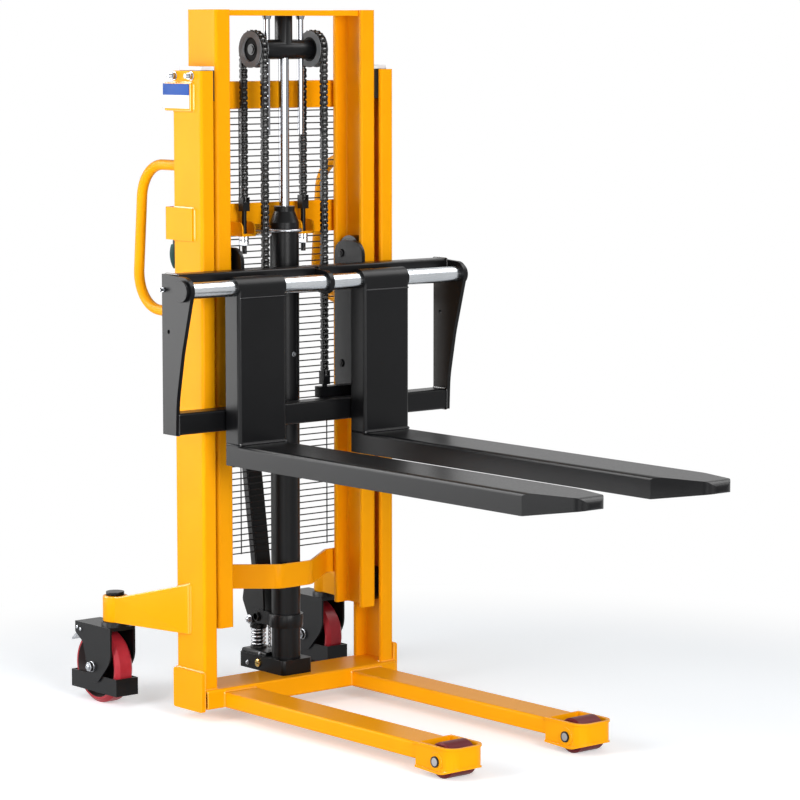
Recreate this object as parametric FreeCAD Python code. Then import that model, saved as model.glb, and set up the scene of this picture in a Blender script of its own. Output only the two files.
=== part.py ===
import FreeCAD, Part
import math
import os

# Hand pallet stacker, in millimetres, with the fork carriage partly raised.
# While it is drawn, X runs across the mast (the left side is negative), Y runs back from the
# front face of the outer posts (the forks reach towards -Y) and Z runs up from the floor.
# Every piece is moved along Y at the end, so that the origin lies under the middle of the machine.

Vec = FreeCAD.Vector
AXES = {"x": Vec(1, 0, 0), "y": Vec(0, 1, 0), "z": Vec(0, 0, 1)}
CENTRE = Vec(0, 0, 0)

# Fits and allowances
overrun = 5.0
contact_gap = 0.3
running_gap = 0.05
same_point = 1e-6
bend_limit_share = 0.48

# Base frame
frame_clearance = 32.0
crossbeam_height = 46.0
crossbeam_nose = 11.0
tube_wall = 5.0
tube_corner = 6.0
leg_height = 38.0
leg_width = 93.0
leg_centre = 193.0
leg_reach = 712.0
foot_plate_thick = 10.0
foot_plate_nose = 2.0
foot_plate_bottom = 25.0
foot_plate_height = 95.0
foot_plate_corner = 6.0

# Load rollers and their housings at the ends of the legs
load_roller_radius = 40.0
load_roller_width = 74.0
load_roller_edge = 4.0
load_roller_side_room = 8.0
load_roller_nose_room = 5.0
load_axle_ahead = 69.0
load_axle_radius = 10.0
load_axle_head_radius = 12.5
load_axle_head = 3.0
housing_plate = 6.0
housing_corner = 31.0
housing_bottom = 17.0
housing_height = 57.0
housing_dip = 4.0
housing_dip_ahead = 18.0
housing_dip_bend = 60.0
housing_nose_rise = 9.0
housing_boss_radius = 21.0
housing_boss = 2.0
housing_lip = 2.5
housing_lip_height = 5.0

# Mast posts, rolled channels that open towards the middle
mast_half = 288.5
post_depth = 112.0
post_web = 8.0
post_flange = 38.0
flange_thick = 14.0
post_corner = 8.0
toe_corner = 5.0
root_corner = 6.0
outer_post_length = 1449.0
mast_gap = 11.5
inner_setback = 8.0
inner_flange = 43.0
inner_post_length = 1450.0
inner_foot_room = 2.0
photo_lift = 138.0
guide_pad_height = 80.0
guide_pad_rise = 10.0
beam_thick = 13.0
beam_drop = 1.0

# Rollers of the mast and of the carriage
roller_width = 24.0
roller_axle_radius = 12.0
roller_end_room = 4.0
mast_roller_rise = 48.0

# Tie plates round the back of the posts
tie_thick = 8.0
tie_back_room = 12.0
tie_front = 28.0
tie_corner = 14.0
upper_tie_drop = 93.0
upper_tie_height = 66.0
mid_tie_spacing = 300.0
mid_tie_height = 76.0
anchor_shelf_thick = 6.0
anchor_shelf_width = 40.0
anchor_cheek_thick = 4.0
anchor_cheek_height = 34.0
anchor_cheek_front = 82.0

# Lift cylinder, piston and crosshead
cylinder_back = 60.0
cylinder_radius = 35.0
cylinder_wall = 7.0
cylinder_rise = 26.0
gland_radius = 25.0
gland_collar = 12.0
gland_cone = 26.0
gland_base = 6.0
rod_radius = 12.5
piston_height = 40.0
piston_bottom = 560.0
crosshead_post_height = 79.0
crosshead_radius = 23.5
crosshead_half = 75.0
crosshead_post_radius = 21.0
guide_rod_radius = 7.5
guide_rod_inset = 25.0
guide_rod_length = 280.0
guide_collar_radius = 8.5
guide_collar_flare = 11.5
guide_collar_height = 9.0

# Lift chains and the sheaves that carry them
chain_pitch = 12.7
chain_plate_half = 5.9
chain_waist_share = 0.6
chain_end_share = 0.8
chain_inner_half = 5.4
chain_outer_half = 9.0
wrap_links = 10
sheave_side_room = 0.6
sheave_flange = 2.2
sheave_flange_rise = 2.4
sheave_gap = 2.2
sheave_rim = 5.4
sheave_recess = 6.0
sheave_pin_radius = 9.5
sheave_pin_inset = 15.0
sheave_ring_radius = 13.0
sheave_ring = 2.0
sheave_pin_show = 2.0

# Chain anchors, a clevis on a threaded bolt
clevis_width = 20.0
clevis_depth = 18.0
clevis_height = 34.0
clevis_pin_rise = 26.0
anchor_bolt_radius = 6.0
anchor_nut_radius = 10.5
anchor_nut_height = 16.0
anchor_tail = 26.0
anchor_bolt_show = 44.0

# Clamp and strap that hold the cylinder
clamp_drop = 13.0
clamp_wire_radius = 4.0
saddle_height = 24.0
strap_thick = 6.0
strap_bottom = 291.0
strap_height = 59.0
strap_flat_half = 48.0
strap_side_room = 18.0
strap_spacer = 14.0
strap_bend = 30.0
strap_inset = 20.0

# Wire mesh that guards the mast from behind
mesh_wire = 3.0
mesh_bottom = 362.0
mesh_top_drop = 6.0
mesh_inset = 36.5
mesh_pitch = 15.2
mesh_upright_inset = 48.0
mesh_uprights = 4
mesh_upright_overlap = 24.0

# Caster arms
caster_outset = 36.5
caster_back = 312.0
caster_boss_radius = 30.0
caster_boss_height = 63.0
caster_cap_radius = 22.0
caster_cap_height = 9.0
arm_front = 54.0
arm_front_thick = 6.0
arm_width = 46.0
arm_root_height = 120.0

# Casters
caster_stem_radius = 14.0
caster_bearing_radius = 34.0
caster_bearing = 12.0
caster_trail = 48.0
caster_wheel_radius = 90.0
caster_wheel_width = 50.0
caster_wheel_edge = 9.0
caster_tread = 14.0
caster_hub_radius = 24.0
caster_hub_proud = 2.0
caster_web = 12.0
caster_axle_radius = 8.0
caster_nut_radius = 12.0
caster_nut = 9.0
caster_plate = 5.0
caster_side_room = 5.0
caster_crown = 8.0
caster_head_room = 5.0
caster_front = 30.0
caster_rear_depth = 26.0
caster_rear_fall = 22.0
caster_cheek_radius = 21.0
caster_waist_share = 0.42
caster_bend_share = 0.5
caster_front_bend = 60.0
guard_plate = 4.0
guard_room = 0.5
guard_bottom = 28.0
guard_height = 42.0
brake_pin_radius = 4.0
brake_pin_inset = 12.0
brake_side_room = 2.0
brake_eye = 9.0
brake_wheel_room = 2.25
brake_plate = 5.0
brake_reach = 37.0
brake_fall = 26.0

# Push handles on the backs of the posts
handle_tube_radius = 12.5
handle_inset = 18.5
handle_drop = 221.0
handle_height = 340.0
handle_fall = 8.0
handle_top_reach = 256.0
handle_low_reach = 284.0
handle_bend = 85.0

# Fork carriage
fork_top = 669.0
carriage_side_room = 9.0
carriage_plate_thick = 10.0
carriage_plate_front = -15.0
carriage_plate_behind = 25.5
carriage_plate_rise = 43.0
carriage_plate_over = 48.0
carriage_plate_corner = 34.0
upper_roller_drop = 31.0
lower_roller_rise = 75.0
bar_size = 50.0
bar_wall = 5.0
bar_corner = 5.0
bar_half = 404.0
lower_bar_rise = 29.0
bar_spacing = 319.0
side_plate_thick = 10.0
side_plate_waist = 25.0
side_plate_waist_drop = 143.0
side_plate_foot = 3.0
side_plate_foot_rise = 78.0
side_plate_bend = 300.0
side_plate_head = 31.0
keeper_hole = 5.0
keeper_drop = 96.0
shaft_radius = 19.0
shaft_ahead = 33.0
shaft_rise = 14.5
shaft_disc_radius = 24.0
shaft_disc = 8.0
lug_thick = 12.0
lug_head = 27.0
anchor_block_inside = 20.0
anchor_block_back = 32.0
anchor_block_depth = 26.0
anchor_block_rise = 2.0
anchor_block_height = 27.0

# Forks
fork_left_centre = 207.0
fork_right_centre = 166.0
fork_width = 138.0
fork_head = 26.0
fork_reach = 1240.0
fork_height = 50.0
fork_roof = 8.0
fork_wall = 6.0
fork_edge = 9.0
fork_shank_wall = 8.0
fork_shank_solid = 60.0
fork_taper = 150.0
fork_tip_half = 34.0
fork_tip_bend = 32.0
fork_taper_bend = 60.0
fork_tip_rise = 24.0
fork_tip_solid = 30.0
fork_nose = 12.0
fork_nose_bend = 24.0
fork_lip_bend = 6.0
fork_pad_half = 52.0
fork_pad_height = 36.0

# Pump and its plunger
pump_half = 45.0
pump_front = 14.0
pump_height = 36.0
pump_corner = 10.0
valve_half = 36.0
valve_front = 95.0
valve_height = 8.0
valve_edge = 6.0
barrel_ahead = 30.0
barrel_edge = 1.0
barrel_radius = 20.0
barrel_height = 12.0
plunger_radius = 11.0
plunger_depth = 14.0
plunger_stroke = 26.0
plunger_cap_radius = 21.0
plunger_cap = 8.0
spring_radius = 15.5
spring_wire = 2.2
spring_turns = 4
spring_height = 45.0
pivot_rise = 91.0
pivot_back = 139.0
pivot_radius = 8.0
pivot_pin_show = 6.0
bracket_gap = 21.0
bracket_plate = 6.0
bracket_half = 16.0
bracket_ring = 6.0

# Tiller
tiller_lean_deg = 8.6
tiller_width = 46.0
tiller_depth = 23.0
tiller_corner = 4.0
tiller_length = 836.0
tiller_foot = 120.0
tiller_cheek = 6.0
tiller_eye = 17.0
tiller_foot_back = 51.0
tiller_heel_back = 67.0
tiller_heel_rise = 33.0
tiller_heel_bend = 16.0
press_roller_radius = 14.0
press_pin_head = 8.0
loop_half = 158.0
loop_height = 100.0
loop_tube_radius = 11.0
loop_bend = 20.0
grip_radius = 15.0
grip_swell = 21.0
grip_length = 58.0
lever_drop = 26.0
lever_length = 62.0
lever_half = 14.0
lever_plate = 6.0
lever_pin_radius = 4.0
lever_ear = 6.0
lever_root_share = 0.5

# Places that follow from the sizes above
base_top = frame_clearance + crossbeam_height
load_axle_reach = leg_reach + load_axle_ahead
post_top = base_top + outer_post_length
inner_face = mast_half - post_flange - mast_gap
strap_step_half = inner_face - inner_flange - strap_side_room
inner_bottom = base_top + inner_foot_room + photo_lift
inner_top = inner_bottom + inner_post_length
inner_middle = inner_setback + post_depth / 2
inner_back = inner_setback + post_depth
roller_radius = post_depth / 2 - flange_thick - contact_gap
beam_top = inner_top - beam_drop
beam_bottom = beam_top - beam_thick
sheave_height = beam_bottom - crosshead_post_height
tie_inside = inner_back + tie_back_room
tie_outside = tie_inside + tie_thick
upper_tie_bottom = post_top - upper_tie_drop
mid_tie_bottom = upper_tie_bottom - mid_tie_spacing
mesh_top = upper_tie_bottom - mesh_top_drop
mesh_half = mast_half - mesh_inset
handle_top = post_top - handle_drop
handle_low = handle_top - handle_height
handle_foot = handle_low - handle_fall
cylinder_top = mid_tie_bottom + cylinder_rise
pump_top = base_top + pump_height
barrel_top = pump_top + barrel_height
barrel_back = pivot_back + barrel_ahead
pump_back = barrel_back + barrel_radius + barrel_edge
pivot_height = pump_top + pivot_rise
bar_back = carriage_plate_front
bar_front = bar_back - bar_size
lower_bar_bottom = fork_top + lower_bar_rise
upper_bar_bottom = lower_bar_bottom + bar_spacing
shaft_back = bar_front - shaft_ahead
shaft_height = upper_bar_bottom + shaft_rise
carriage_plate_half = inner_face - inner_flange - carriage_side_room
carriage_plate_back = inner_middle + carriage_plate_behind
carriage_plate_bottom = lower_bar_bottom + carriage_plate_rise
carriage_plate_top = upper_bar_bottom + bar_size + carriage_plate_over
upper_roller_height = carriage_plate_top - upper_roller_drop
lower_roller_height = carriage_plate_bottom + lower_roller_rise
anchor_block_bottom = carriage_plate_bottom + anchor_block_rise
fork_bottom = fork_top - fork_height

# Chains: whole links fill each run, and the anchor bolts take up the rest
wrap_step = math.pi / wrap_links
chain_radius = chain_pitch / 2 / math.sin(wrap_step / 2)
chain_front = cylinder_back - chain_radius
chain_rear = cylinder_back + chain_radius
sheave_inner_half = chain_outer_half + sheave_side_room
sheave_half = sheave_inner_half + sheave_flange
sheave_flange_radius = chain_radius + sheave_flange_rise
sheave_groove_radius = chain_radius - chain_plate_half - contact_gap
sheave_recess_radius = sheave_groove_radius - sheave_rim
chain_spread = crosshead_half + sheave_gap + sheave_half
guide_rod_spread = crosshead_half - guide_rod_inset
front_drop = sheave_height - anchor_block_bottom - anchor_block_height - clevis_pin_rise
rear_drop = sheave_height - mid_tie_bottom - anchor_shelf_thick - clevis_pin_rise - anchor_bolt_show
front_links = int((front_drop / chain_pitch - 1) / 2) * 2 + 1
rear_links = int(rear_drop / chain_pitch / 2) * 2
front_chain_end = sheave_height - front_links * chain_pitch
rear_chain_end = sheave_height - rear_links * chain_pitch

# Casters: the boss stands over the wheel, the crown and the bearing
caster_spread = mast_half + caster_outset
wheel_back = caster_back + caster_trail
caster_hub_width = caster_wheel_width + caster_hub_proud * 2
caster_plate_gap = caster_hub_width / 2 + caster_side_room
brake_half = caster_plate_gap - brake_side_room
crown_bottom = caster_wheel_radius * 2 + caster_head_room
fork_crown_top = crown_bottom + caster_crown
caster_boss_bottom = fork_crown_top + caster_bearing
boss_top = caster_boss_bottom + caster_boss_height
guard_half = caster_wheel_radius + guard_room + guard_plate
brake_pin_height = crown_bottom - brake_pin_inset
brake_pin_reach = caster_wheel_radius + brake_eye + brake_wheel_room
brake_pin_back = wheel_back + math.sqrt(brake_pin_reach ** 2 - (brake_pin_height - caster_wheel_radius) ** 2)
rear_reach = max(wheel_back + guard_half, brake_pin_back + brake_reach)
frame_shift = (fork_reach - rear_reach) / 2


def spot(axis, along, pair):
    """Point at a distance along an axis; the pair gives its other two coordinates in X, Y, Z order."""
    if axis == "x":
        return Vec(along, pair[0], pair[1])
    if axis == "y":
        return Vec(pair[0], along, pair[1])
    return Vec(pair[0], pair[1], along)


def block(x, y, z):
    """Box between two limits on each axis."""
    low = Vec(min(x), min(y), min(z))
    return Part.makeBox(max(x) - min(x), max(y) - min(y), max(z) - min(z), low)


def bar(axis, radius, span, pair):
    """Round bar along an axis."""
    return Part.makeCylinder(radius, max(span) - min(span), spot(axis, min(span), pair), AXES[axis])


def bent_edges(points, radii, closed):
    """Straight runs through the points, joined by arcs that stay within their runs."""
    count = len(points)
    arrive, leave, middle = [], [], []
    for index, corner in enumerate(points):
        inside = closed or 0 < index < count - 1
        if not inside or radii[index] <= 0:
            arrive.append(corner)
            leave.append(corner)
            middle.append(None)
            continue
        before = points[index - 1] - corner
        after = points[(index + 1) % count] - corner
        before_shares = 1 if closed or index > 1 else 2
        after_shares = 1 if closed or index < count - 2 else 2
        room = bend_limit_share * min(before.Length * before_shares, after.Length * after_shares)
        before.normalize()
        after.normalize()
        half = before.getAngle(after) / 2
        radius = min(radii[index], room * math.tan(half))
        bisector = before + after
        bisector.normalize()
        arrive.append(corner + before * (radius / math.tan(half)))
        leave.append(corner + after * (radius / math.tan(half)))
        middle.append(corner + bisector * (radius / math.sin(half) - radius))
    edges = []
    for index in range(count):
        if middle[index] is not None:
            edges.append(Part.Arc(arrive[index], middle[index], leave[index]).toShape())
        following = (index + 1) % count
        last = index == count - 1 and not closed
        if not last and (arrive[following] - leave[index]).Length > same_point:
            edges.append(Part.makeLine(leave[index], arrive[following]))
    return edges


def plate(axis, corners, span):
    """Flat shape with corners (a, b) or (a, b, bend radius), drawn across an axis and given a thickness."""
    points = [spot(axis, min(span), corner[:2]) for corner in corners]
    radii = [corner[2] if len(corner) > 2 else 0 for corner in corners]
    face = Part.Face(Part.Wire(bent_edges(points, radii, True)))
    return face.extrude(AXES[axis] * (max(span) - min(span)))


def bent_rod(points, bend, radius):
    """Round rod along straight runs with one bend radius."""
    path = Part.Wire(bent_edges(points, [bend] * len(points), False))
    ring = Part.Wire(Part.makeCircle(radius, points[0], points[1] - points[0]))
    return path.makePipeShell([ring], True, False)


def turned(axis, profile, centre):
    """Round piece turned about an axis; the profile lists (distance along the axis, radius)."""
    across = {"x": "y", "y": "z", "z": "x"}[axis]
    points = [centre + AXES[axis] * along + AXES[across] * radius for along, radius in profile]
    face = Part.Face(Part.makePolygon(points + points[:1]))
    return face.revolve(centre, AXES[axis], 360)


def section(low, high, corner):
    """Corners of a rounded rectangle between two opposite corners."""
    return [
        (low[0], low[1], corner),
        (high[0], low[1], corner),
        (high[0], high[1], corner),
        (low[0], high[1], corner),
    ]


def box_tube(axis, low, high, wall, corner, span):
    """Box-section tube, open at both ends."""
    inner_low = (low[0] + wall, low[1] + wall)
    inner_high = (high[0] - wall, high[1] - wall)
    outside = plate(axis, section(low, high, corner), span)
    hollow = plate(axis, section(inner_low, inner_high, 0), (min(span) - overrun, max(span) + overrun))
    return outside.cut(hollow)


def other_side(shape):
    """Mirror image on the other side of the mast."""
    return shape.mirror(CENTRE, AXES["x"])


def joined(first, *others):
    """One solid from pieces that meet."""
    return first.fuse(list(others)).removeSplitter()


def save(name, *shapes):
    """Write the solids of one node, moved to the machine's own frame."""
    solids = []
    for shape in shapes:
        for solid in shape.Solids:
            moved = solid.copy()
            moved.translate(AXES["y"] * frame_shift)
            solids.append(moved)
    whole = solids[0] if len(solids) == 1 else Part.makeCompound(solids)
    whole.exportStep("parts/" + name + ".step")


def save_pair(name, right):
    """Write a piece and its mirror image as two nodes."""
    save(name + "_right", right)
    save(name + "_left", other_side(right))


def base_frame():
    low = (-crossbeam_nose, frame_clearance)
    high = (post_depth, base_top)
    save("base_crossbeam", box_tube("x", low, high, tube_wall, tube_corner, (-mast_half, mast_half)))
    low = (leg_centre - leg_width / 2, frame_clearance)
    high = (leg_centre + leg_width / 2, frame_clearance + leg_height)
    leg = box_tube("y", low, high, tube_wall, tube_corner, (-leg_reach, -crossbeam_nose))
    save("legs", leg, other_side(leg))
    low = (-foot_plate_nose, foot_plate_bottom)
    high = (post_depth, foot_plate_bottom + foot_plate_height)
    foot = plate("x", section(low, high, foot_plate_corner), (mast_half, mast_half + foot_plate_thick))
    save("foot_plates", foot, other_side(foot))


def nose_block(wall, back, corner, z):
    """Block round the load roller's room, larger by a wall, with rounded front corners."""
    half = load_roller_width / 2 + load_roller_side_room + wall
    nose = -load_axle_reach - load_roller_radius - load_roller_nose_room - wall
    corners = [
        (leg_centre - half, back),
        (leg_centre + half, back),
        (leg_centre + half, nose, corner),
        (leg_centre - half, nose, corner),
    ]
    return plate("z", corners, z)


def housing_edge(nose, lift):
    """Lower edge of a housing seen from the side, lowest just ahead of the axle, raised by a lift."""
    dip = (-load_axle_reach - housing_dip_ahead, housing_bottom - housing_dip + lift, housing_dip_bend)
    rear = (overrun - leg_reach, housing_bottom + lift)
    return [rear, dip, (nose, housing_bottom + housing_nose_rise + lift)]


def housing_shell(boss_half, axle_place):
    """Housing round a load roller: a bent plate with beaded rims and a boss on each side."""
    lip_wall = housing_plate + housing_lip
    lip_corner = housing_corner + housing_lip
    top = housing_bottom + housing_height
    back = -leg_reach
    reach = load_roller_radius + load_roller_nose_room + lip_wall + overrun
    nose = -load_axle_reach - reach
    across = (leg_centre - boss_half - overrun, leg_centre + boss_half + overrun)
    whole_z = (housing_bottom - housing_dip - overrun, top)
    low_edge = housing_edge(nose, 0)
    low_rim = housing_edge(nose, housing_lip_height)
    side = plate("x", low_edge + [(nose, top + overrun), (overrun - leg_reach, top + overrun)], across)
    strip = plate("x", low_edge + low_rim[::-1], across)
    band = nose_block(housing_plate, back, housing_corner, whole_z).common(side)
    low_lip = nose_block(lip_wall, back, lip_corner, whole_z).common(strip)
    top_lip = nose_block(lip_wall, back, lip_corner, (top - housing_lip_height, top))
    boss = bar("x", housing_boss_radius, (leg_centre - boss_half, leg_centre + boss_half), axle_place)
    hollow_z = (whole_z[0] - overrun, top + overrun)
    hollow = nose_block(0, back - housing_plate, housing_corner - housing_plate, hollow_z)
    axle_hole = bar("x", load_axle_radius + running_gap, across, axle_place)
    return joined(band, low_lip, top_lip, boss).cut(hollow).cut(axle_hole)


def load_wheels():
    axle_place = (-load_axle_reach, load_roller_radius)
    boss_half = load_roller_width / 2 + load_roller_side_room + housing_plate + housing_boss
    housing = housing_shell(boss_half, axle_place)
    head_face = boss_half + load_axle_head
    axle_span = (leg_centre - boss_half, leg_centre + boss_half)
    save("wheel_housings", housing, other_side(housing))
    axle = joined(
        bar("x", load_axle_radius, axle_span, axle_place),
        bar("x", load_axle_head_radius, (leg_centre - head_face, axle_span[0]), axle_place),
        bar("x", load_axle_head_radius, (axle_span[1], leg_centre + head_face), axle_place),
    )
    save("load_roller_axles", axle, other_side(axle))
    half = load_roller_width / 2
    bore = load_axle_radius + running_gap
    profile = [
        (-half, bore),
        (-half, load_roller_radius - load_roller_edge),
        (load_roller_edge - half, load_roller_radius),
        (half - load_roller_edge, load_roller_radius),
        (half, load_roller_radius - load_roller_edge),
        (half, bore),
    ]
    save_pair("load_roller", turned("x", profile, Vec(leg_centre, -load_axle_reach, load_roller_radius)))


def channel(face, flange, front, z):
    """Rolled channel on the right side of the mast that opens towards the middle."""
    toe = face - flange
    web = face - post_web
    back = front + post_depth
    corners = [
        (face, front, post_corner),
        (face, back, post_corner),
        (toe, back, toe_corner),
        (toe, back - flange_thick, toe_corner),
        (web, back - flange_thick, root_corner),
        (web, front + flange_thick, root_corner),
        (toe, front + flange_thick, toe_corner),
        (toe, front, toe_corner),
    ]
    return plate("z", corners, z)


def rolling_ring(inner_face_x, place):
    """Guide roller on the right side, from its inner face outwards."""
    bore = roller_axle_radius + running_gap
    profile = [(0, bore), (0, roller_radius), (roller_width, roller_radius), (roller_width, bore)]
    return turned("x", profile, Vec(inner_face_x, place[0], place[1]))


def mast():
    save_pair("outer_post", channel(mast_half, post_flange, 0, (base_top, post_top)))
    inner_post = channel(inner_face, inner_flange, inner_setback, (inner_bottom, inner_top))
    save("inner_posts", inner_post, other_side(inner_post))
    beam_half = inner_face - post_web
    beam_y = (inner_setback + flange_thick, inner_back - flange_thick)
    beam_corners = section((-beam_half, beam_y[0]), (beam_half, beam_y[1]), root_corner + contact_gap)
    save("top_beam", plate("z", beam_corners, (beam_bottom, beam_top)))
    pad_x = (inner_face + contact_gap, mast_half - post_web)
    pad_top = post_top + guide_pad_rise
    pad_corner = root_corner + contact_gap
    pad_corners = [
        (pad_x[0], flange_thick),
        (pad_x[1], flange_thick, pad_corner),
        (pad_x[1], post_depth - flange_thick, pad_corner),
        (pad_x[0], post_depth - flange_thick),
    ]
    pad = plate("z", pad_corners, (pad_top - guide_pad_height, pad_top))
    save("guide_pads", pad, other_side(pad))
    place = (post_depth / 2, inner_bottom + mast_roller_rise)
    axle_end = mast_half - post_web - contact_gap
    axle = bar("x", roller_axle_radius, (inner_face, axle_end), place)
    save("mast_roller_axles", axle, other_side(axle))
    save_pair("mast_roller", rolling_ring(axle_end - roller_end_room - roller_width, place))
    rods = []
    for side in (-1, 1):
        centre = (side * guide_rod_spread, cylinder_back)
        stem = bar("z", guide_rod_radius, (beam_bottom - guide_rod_length, beam_bottom), centre)
        flare = Part.makeCone(
            guide_collar_radius,
            guide_collar_flare,
            guide_collar_height,
            spot("z", beam_bottom - guide_collar_height, centre),
        )
        rods.append(joined(stem, flare))
    save("guide_rods", *rods)


def tie_plate(bottom, height):
    """Plate bent round the back of both posts."""
    outer = mast_half + tie_thick
    span = (bottom, bottom + height)
    corners = [
        (-outer, tie_front),
        (-mast_half, tie_front),
        (-mast_half, tie_inside, tie_corner - tie_thick),
        (mast_half, tie_inside, tie_corner - tie_thick),
        (mast_half, tie_front),
        (outer, tie_front),
        (outer, tie_outside, tie_corner),
        (-outer, tie_outside, tie_corner),
    ]
    return plate("z", corners, span)


def anchor_shelf(side):
    """Shelf with two cheeks that carries one chain anchor ahead of the tie plate."""
    centre = side * chain_spread
    half = anchor_shelf_width / 2
    top = mid_tie_bottom + anchor_shelf_thick
    shelf = block((centre - half, centre + half), (anchor_cheek_front, tie_inside), (mid_tie_bottom, top))
    hole_z = (mid_tie_bottom - overrun, top + overrun)
    hole = bar("z", anchor_bolt_radius + running_gap, hole_z, (centre, chain_rear))
    profile = [
        (anchor_cheek_front, mid_tie_bottom),
        (tie_inside, mid_tie_bottom),
        (tie_inside, mid_tie_bottom + anchor_cheek_height),
        (anchor_cheek_front, mid_tie_bottom + anchor_cheek_height, anchor_cheek_height),
    ]
    left = plate("x", profile, (centre - half, centre - half + anchor_cheek_thick))
    right = plate("x", profile, (centre + half - anchor_cheek_thick, centre + half))
    return joined(shelf, left, right).cut(hole)


def ties():
    save("upper_tie_plate", tie_plate(upper_tie_bottom, upper_tie_height))
    mid = tie_plate(mid_tie_bottom, mid_tie_height)
    save("mid_tie_plate", joined(mid, anchor_shelf(-1), anchor_shelf(1)))


def chain_clevis(side, back, pin_height, seat):
    """Clevis that takes the last chain link, with its bolt down through the seat and a nut below."""
    centre = side * chain_spread
    bottom = pin_height - clevis_pin_rise
    half = clevis_width / 2
    depth = (back - clevis_depth / 2, back + clevis_depth / 2)
    slot_half = chain_inner_half + contact_gap
    slot_bottom = pin_height - chain_plate_half - contact_gap
    body = block((centre - half, centre + half), depth, (bottom, bottom + clevis_height))
    slot = block(
        (centre - slot_half, centre + slot_half),
        (depth[0] - overrun, depth[1] + overrun),
        (slot_bottom, bottom + clevis_height + overrun),
    )
    cheek_room = block(
        (centre - half - overrun, centre + half + overrun),
        (depth[0] - overrun, depth[1] + overrun),
        (pin_height + chain_pitch - chain_plate_half, bottom + clevis_height + overrun),
    )
    nut_top = seat[0]
    bolt = bar("z", anchor_bolt_radius, (nut_top - anchor_nut_height - anchor_tail, bottom), (centre, back))
    nut_corners = []
    for step in range(6):
        turn = step * math.pi / 3
        corner_x = centre + anchor_nut_radius * math.cos(turn)
        corner_y = back + anchor_nut_radius * math.sin(turn)
        nut_corners.append((corner_x, corner_y))
    nut = plate("z", nut_corners, (nut_top - anchor_nut_height, nut_top))
    return joined(body.cut(slot).cut(cheek_room), bolt, nut)


def link_plate(side, start, end, x):
    """Waisted chain plate between two pins, at the given limits across the chain."""
    along = end - start
    along.normalize()
    across = AXES["x"].cross(along)
    reach = along * (chain_plate_half * chain_end_share)
    wide = across * chain_plate_half
    waist = across * (chain_plate_half * chain_waist_share)
    middle = (start + end) * 0.5
    points = [
        start - reach - wide,
        start - reach + wide,
        middle + waist,
        end + reach + wide,
        end + reach - wide,
        middle - waist,
    ]
    offset = AXES["x"] * (side * chain_spread + min(x))
    corners = [point + offset for point in points]
    face = Part.Face(Part.makePolygon(corners + corners[:1]))
    return face.extrude(AXES["x"] * (max(x) - min(x)))


def chain_run(side, pins, first_is_wide):
    """Leaf chain along a row of pins: narrow links alternate with pairs of outer plates."""
    links = []
    for index in range(len(pins) - 1):
        start, end = pins[index], pins[index + 1]
        wide = (index % 2 == 0) == first_is_wide
        if wide:
            links.append(link_plate(side, start, end, (chain_inner_half, chain_outer_half)))
            links.append(link_plate(side, start, end, (-chain_outer_half, -chain_inner_half)))
        else:
            links.append(link_plate(side, start, end, (-chain_inner_half, chain_inner_half)))
    return links


def chains():
    front_pins = [Vec(0, chain_front, sheave_height - step * chain_pitch) for step in range(front_links + 1)]
    rear_pins = [Vec(0, chain_rear, sheave_height - step * chain_pitch) for step in range(rear_links + 1)]
    wrap_pins = []
    for step in range(wrap_links + 1):
        turn = step * wrap_step
        reach_y = cylinder_back - chain_radius * math.cos(turn)
        wrap_pins.append(Vec(0, reach_y, sheave_height + chain_radius * math.sin(turn)))
    front, rear, wraps = [], [], []
    for side in (-1, 1):
        front += chain_run(side, front_pins, False)
        rear += chain_run(side, rear_pins, True)
        wraps += chain_run(side, wrap_pins, True)
    save("front_chains", *front)
    save("rear_chains", *rear)
    save("chain_wraps", *wraps)
    shelf = (mid_tie_bottom, mid_tie_bottom + anchor_shelf_thick)
    save("chain_anchor_bolts", *[chain_clevis(side, chain_rear, rear_chain_end, shelf) for side in (-1, 1)])


def sheave():
    """Flanged chain sheave on the right side."""
    bore = sheave_pin_radius + running_gap
    profile = [
        (-sheave_half, bore),
        (-sheave_half, sheave_flange_radius),
        (-sheave_inner_half, sheave_flange_radius),
        (-sheave_inner_half, sheave_groove_radius),
        (sheave_inner_half, sheave_groove_radius),
        (sheave_inner_half, sheave_flange_radius),
        (sheave_half, sheave_flange_radius),
        (sheave_half, sheave_recess_radius),
        (sheave_half - sheave_recess, sheave_recess_radius),
        (sheave_half - sheave_recess, bore),
    ]
    return turned("x", profile, Vec(chain_spread, cylinder_back, sheave_height))


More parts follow.
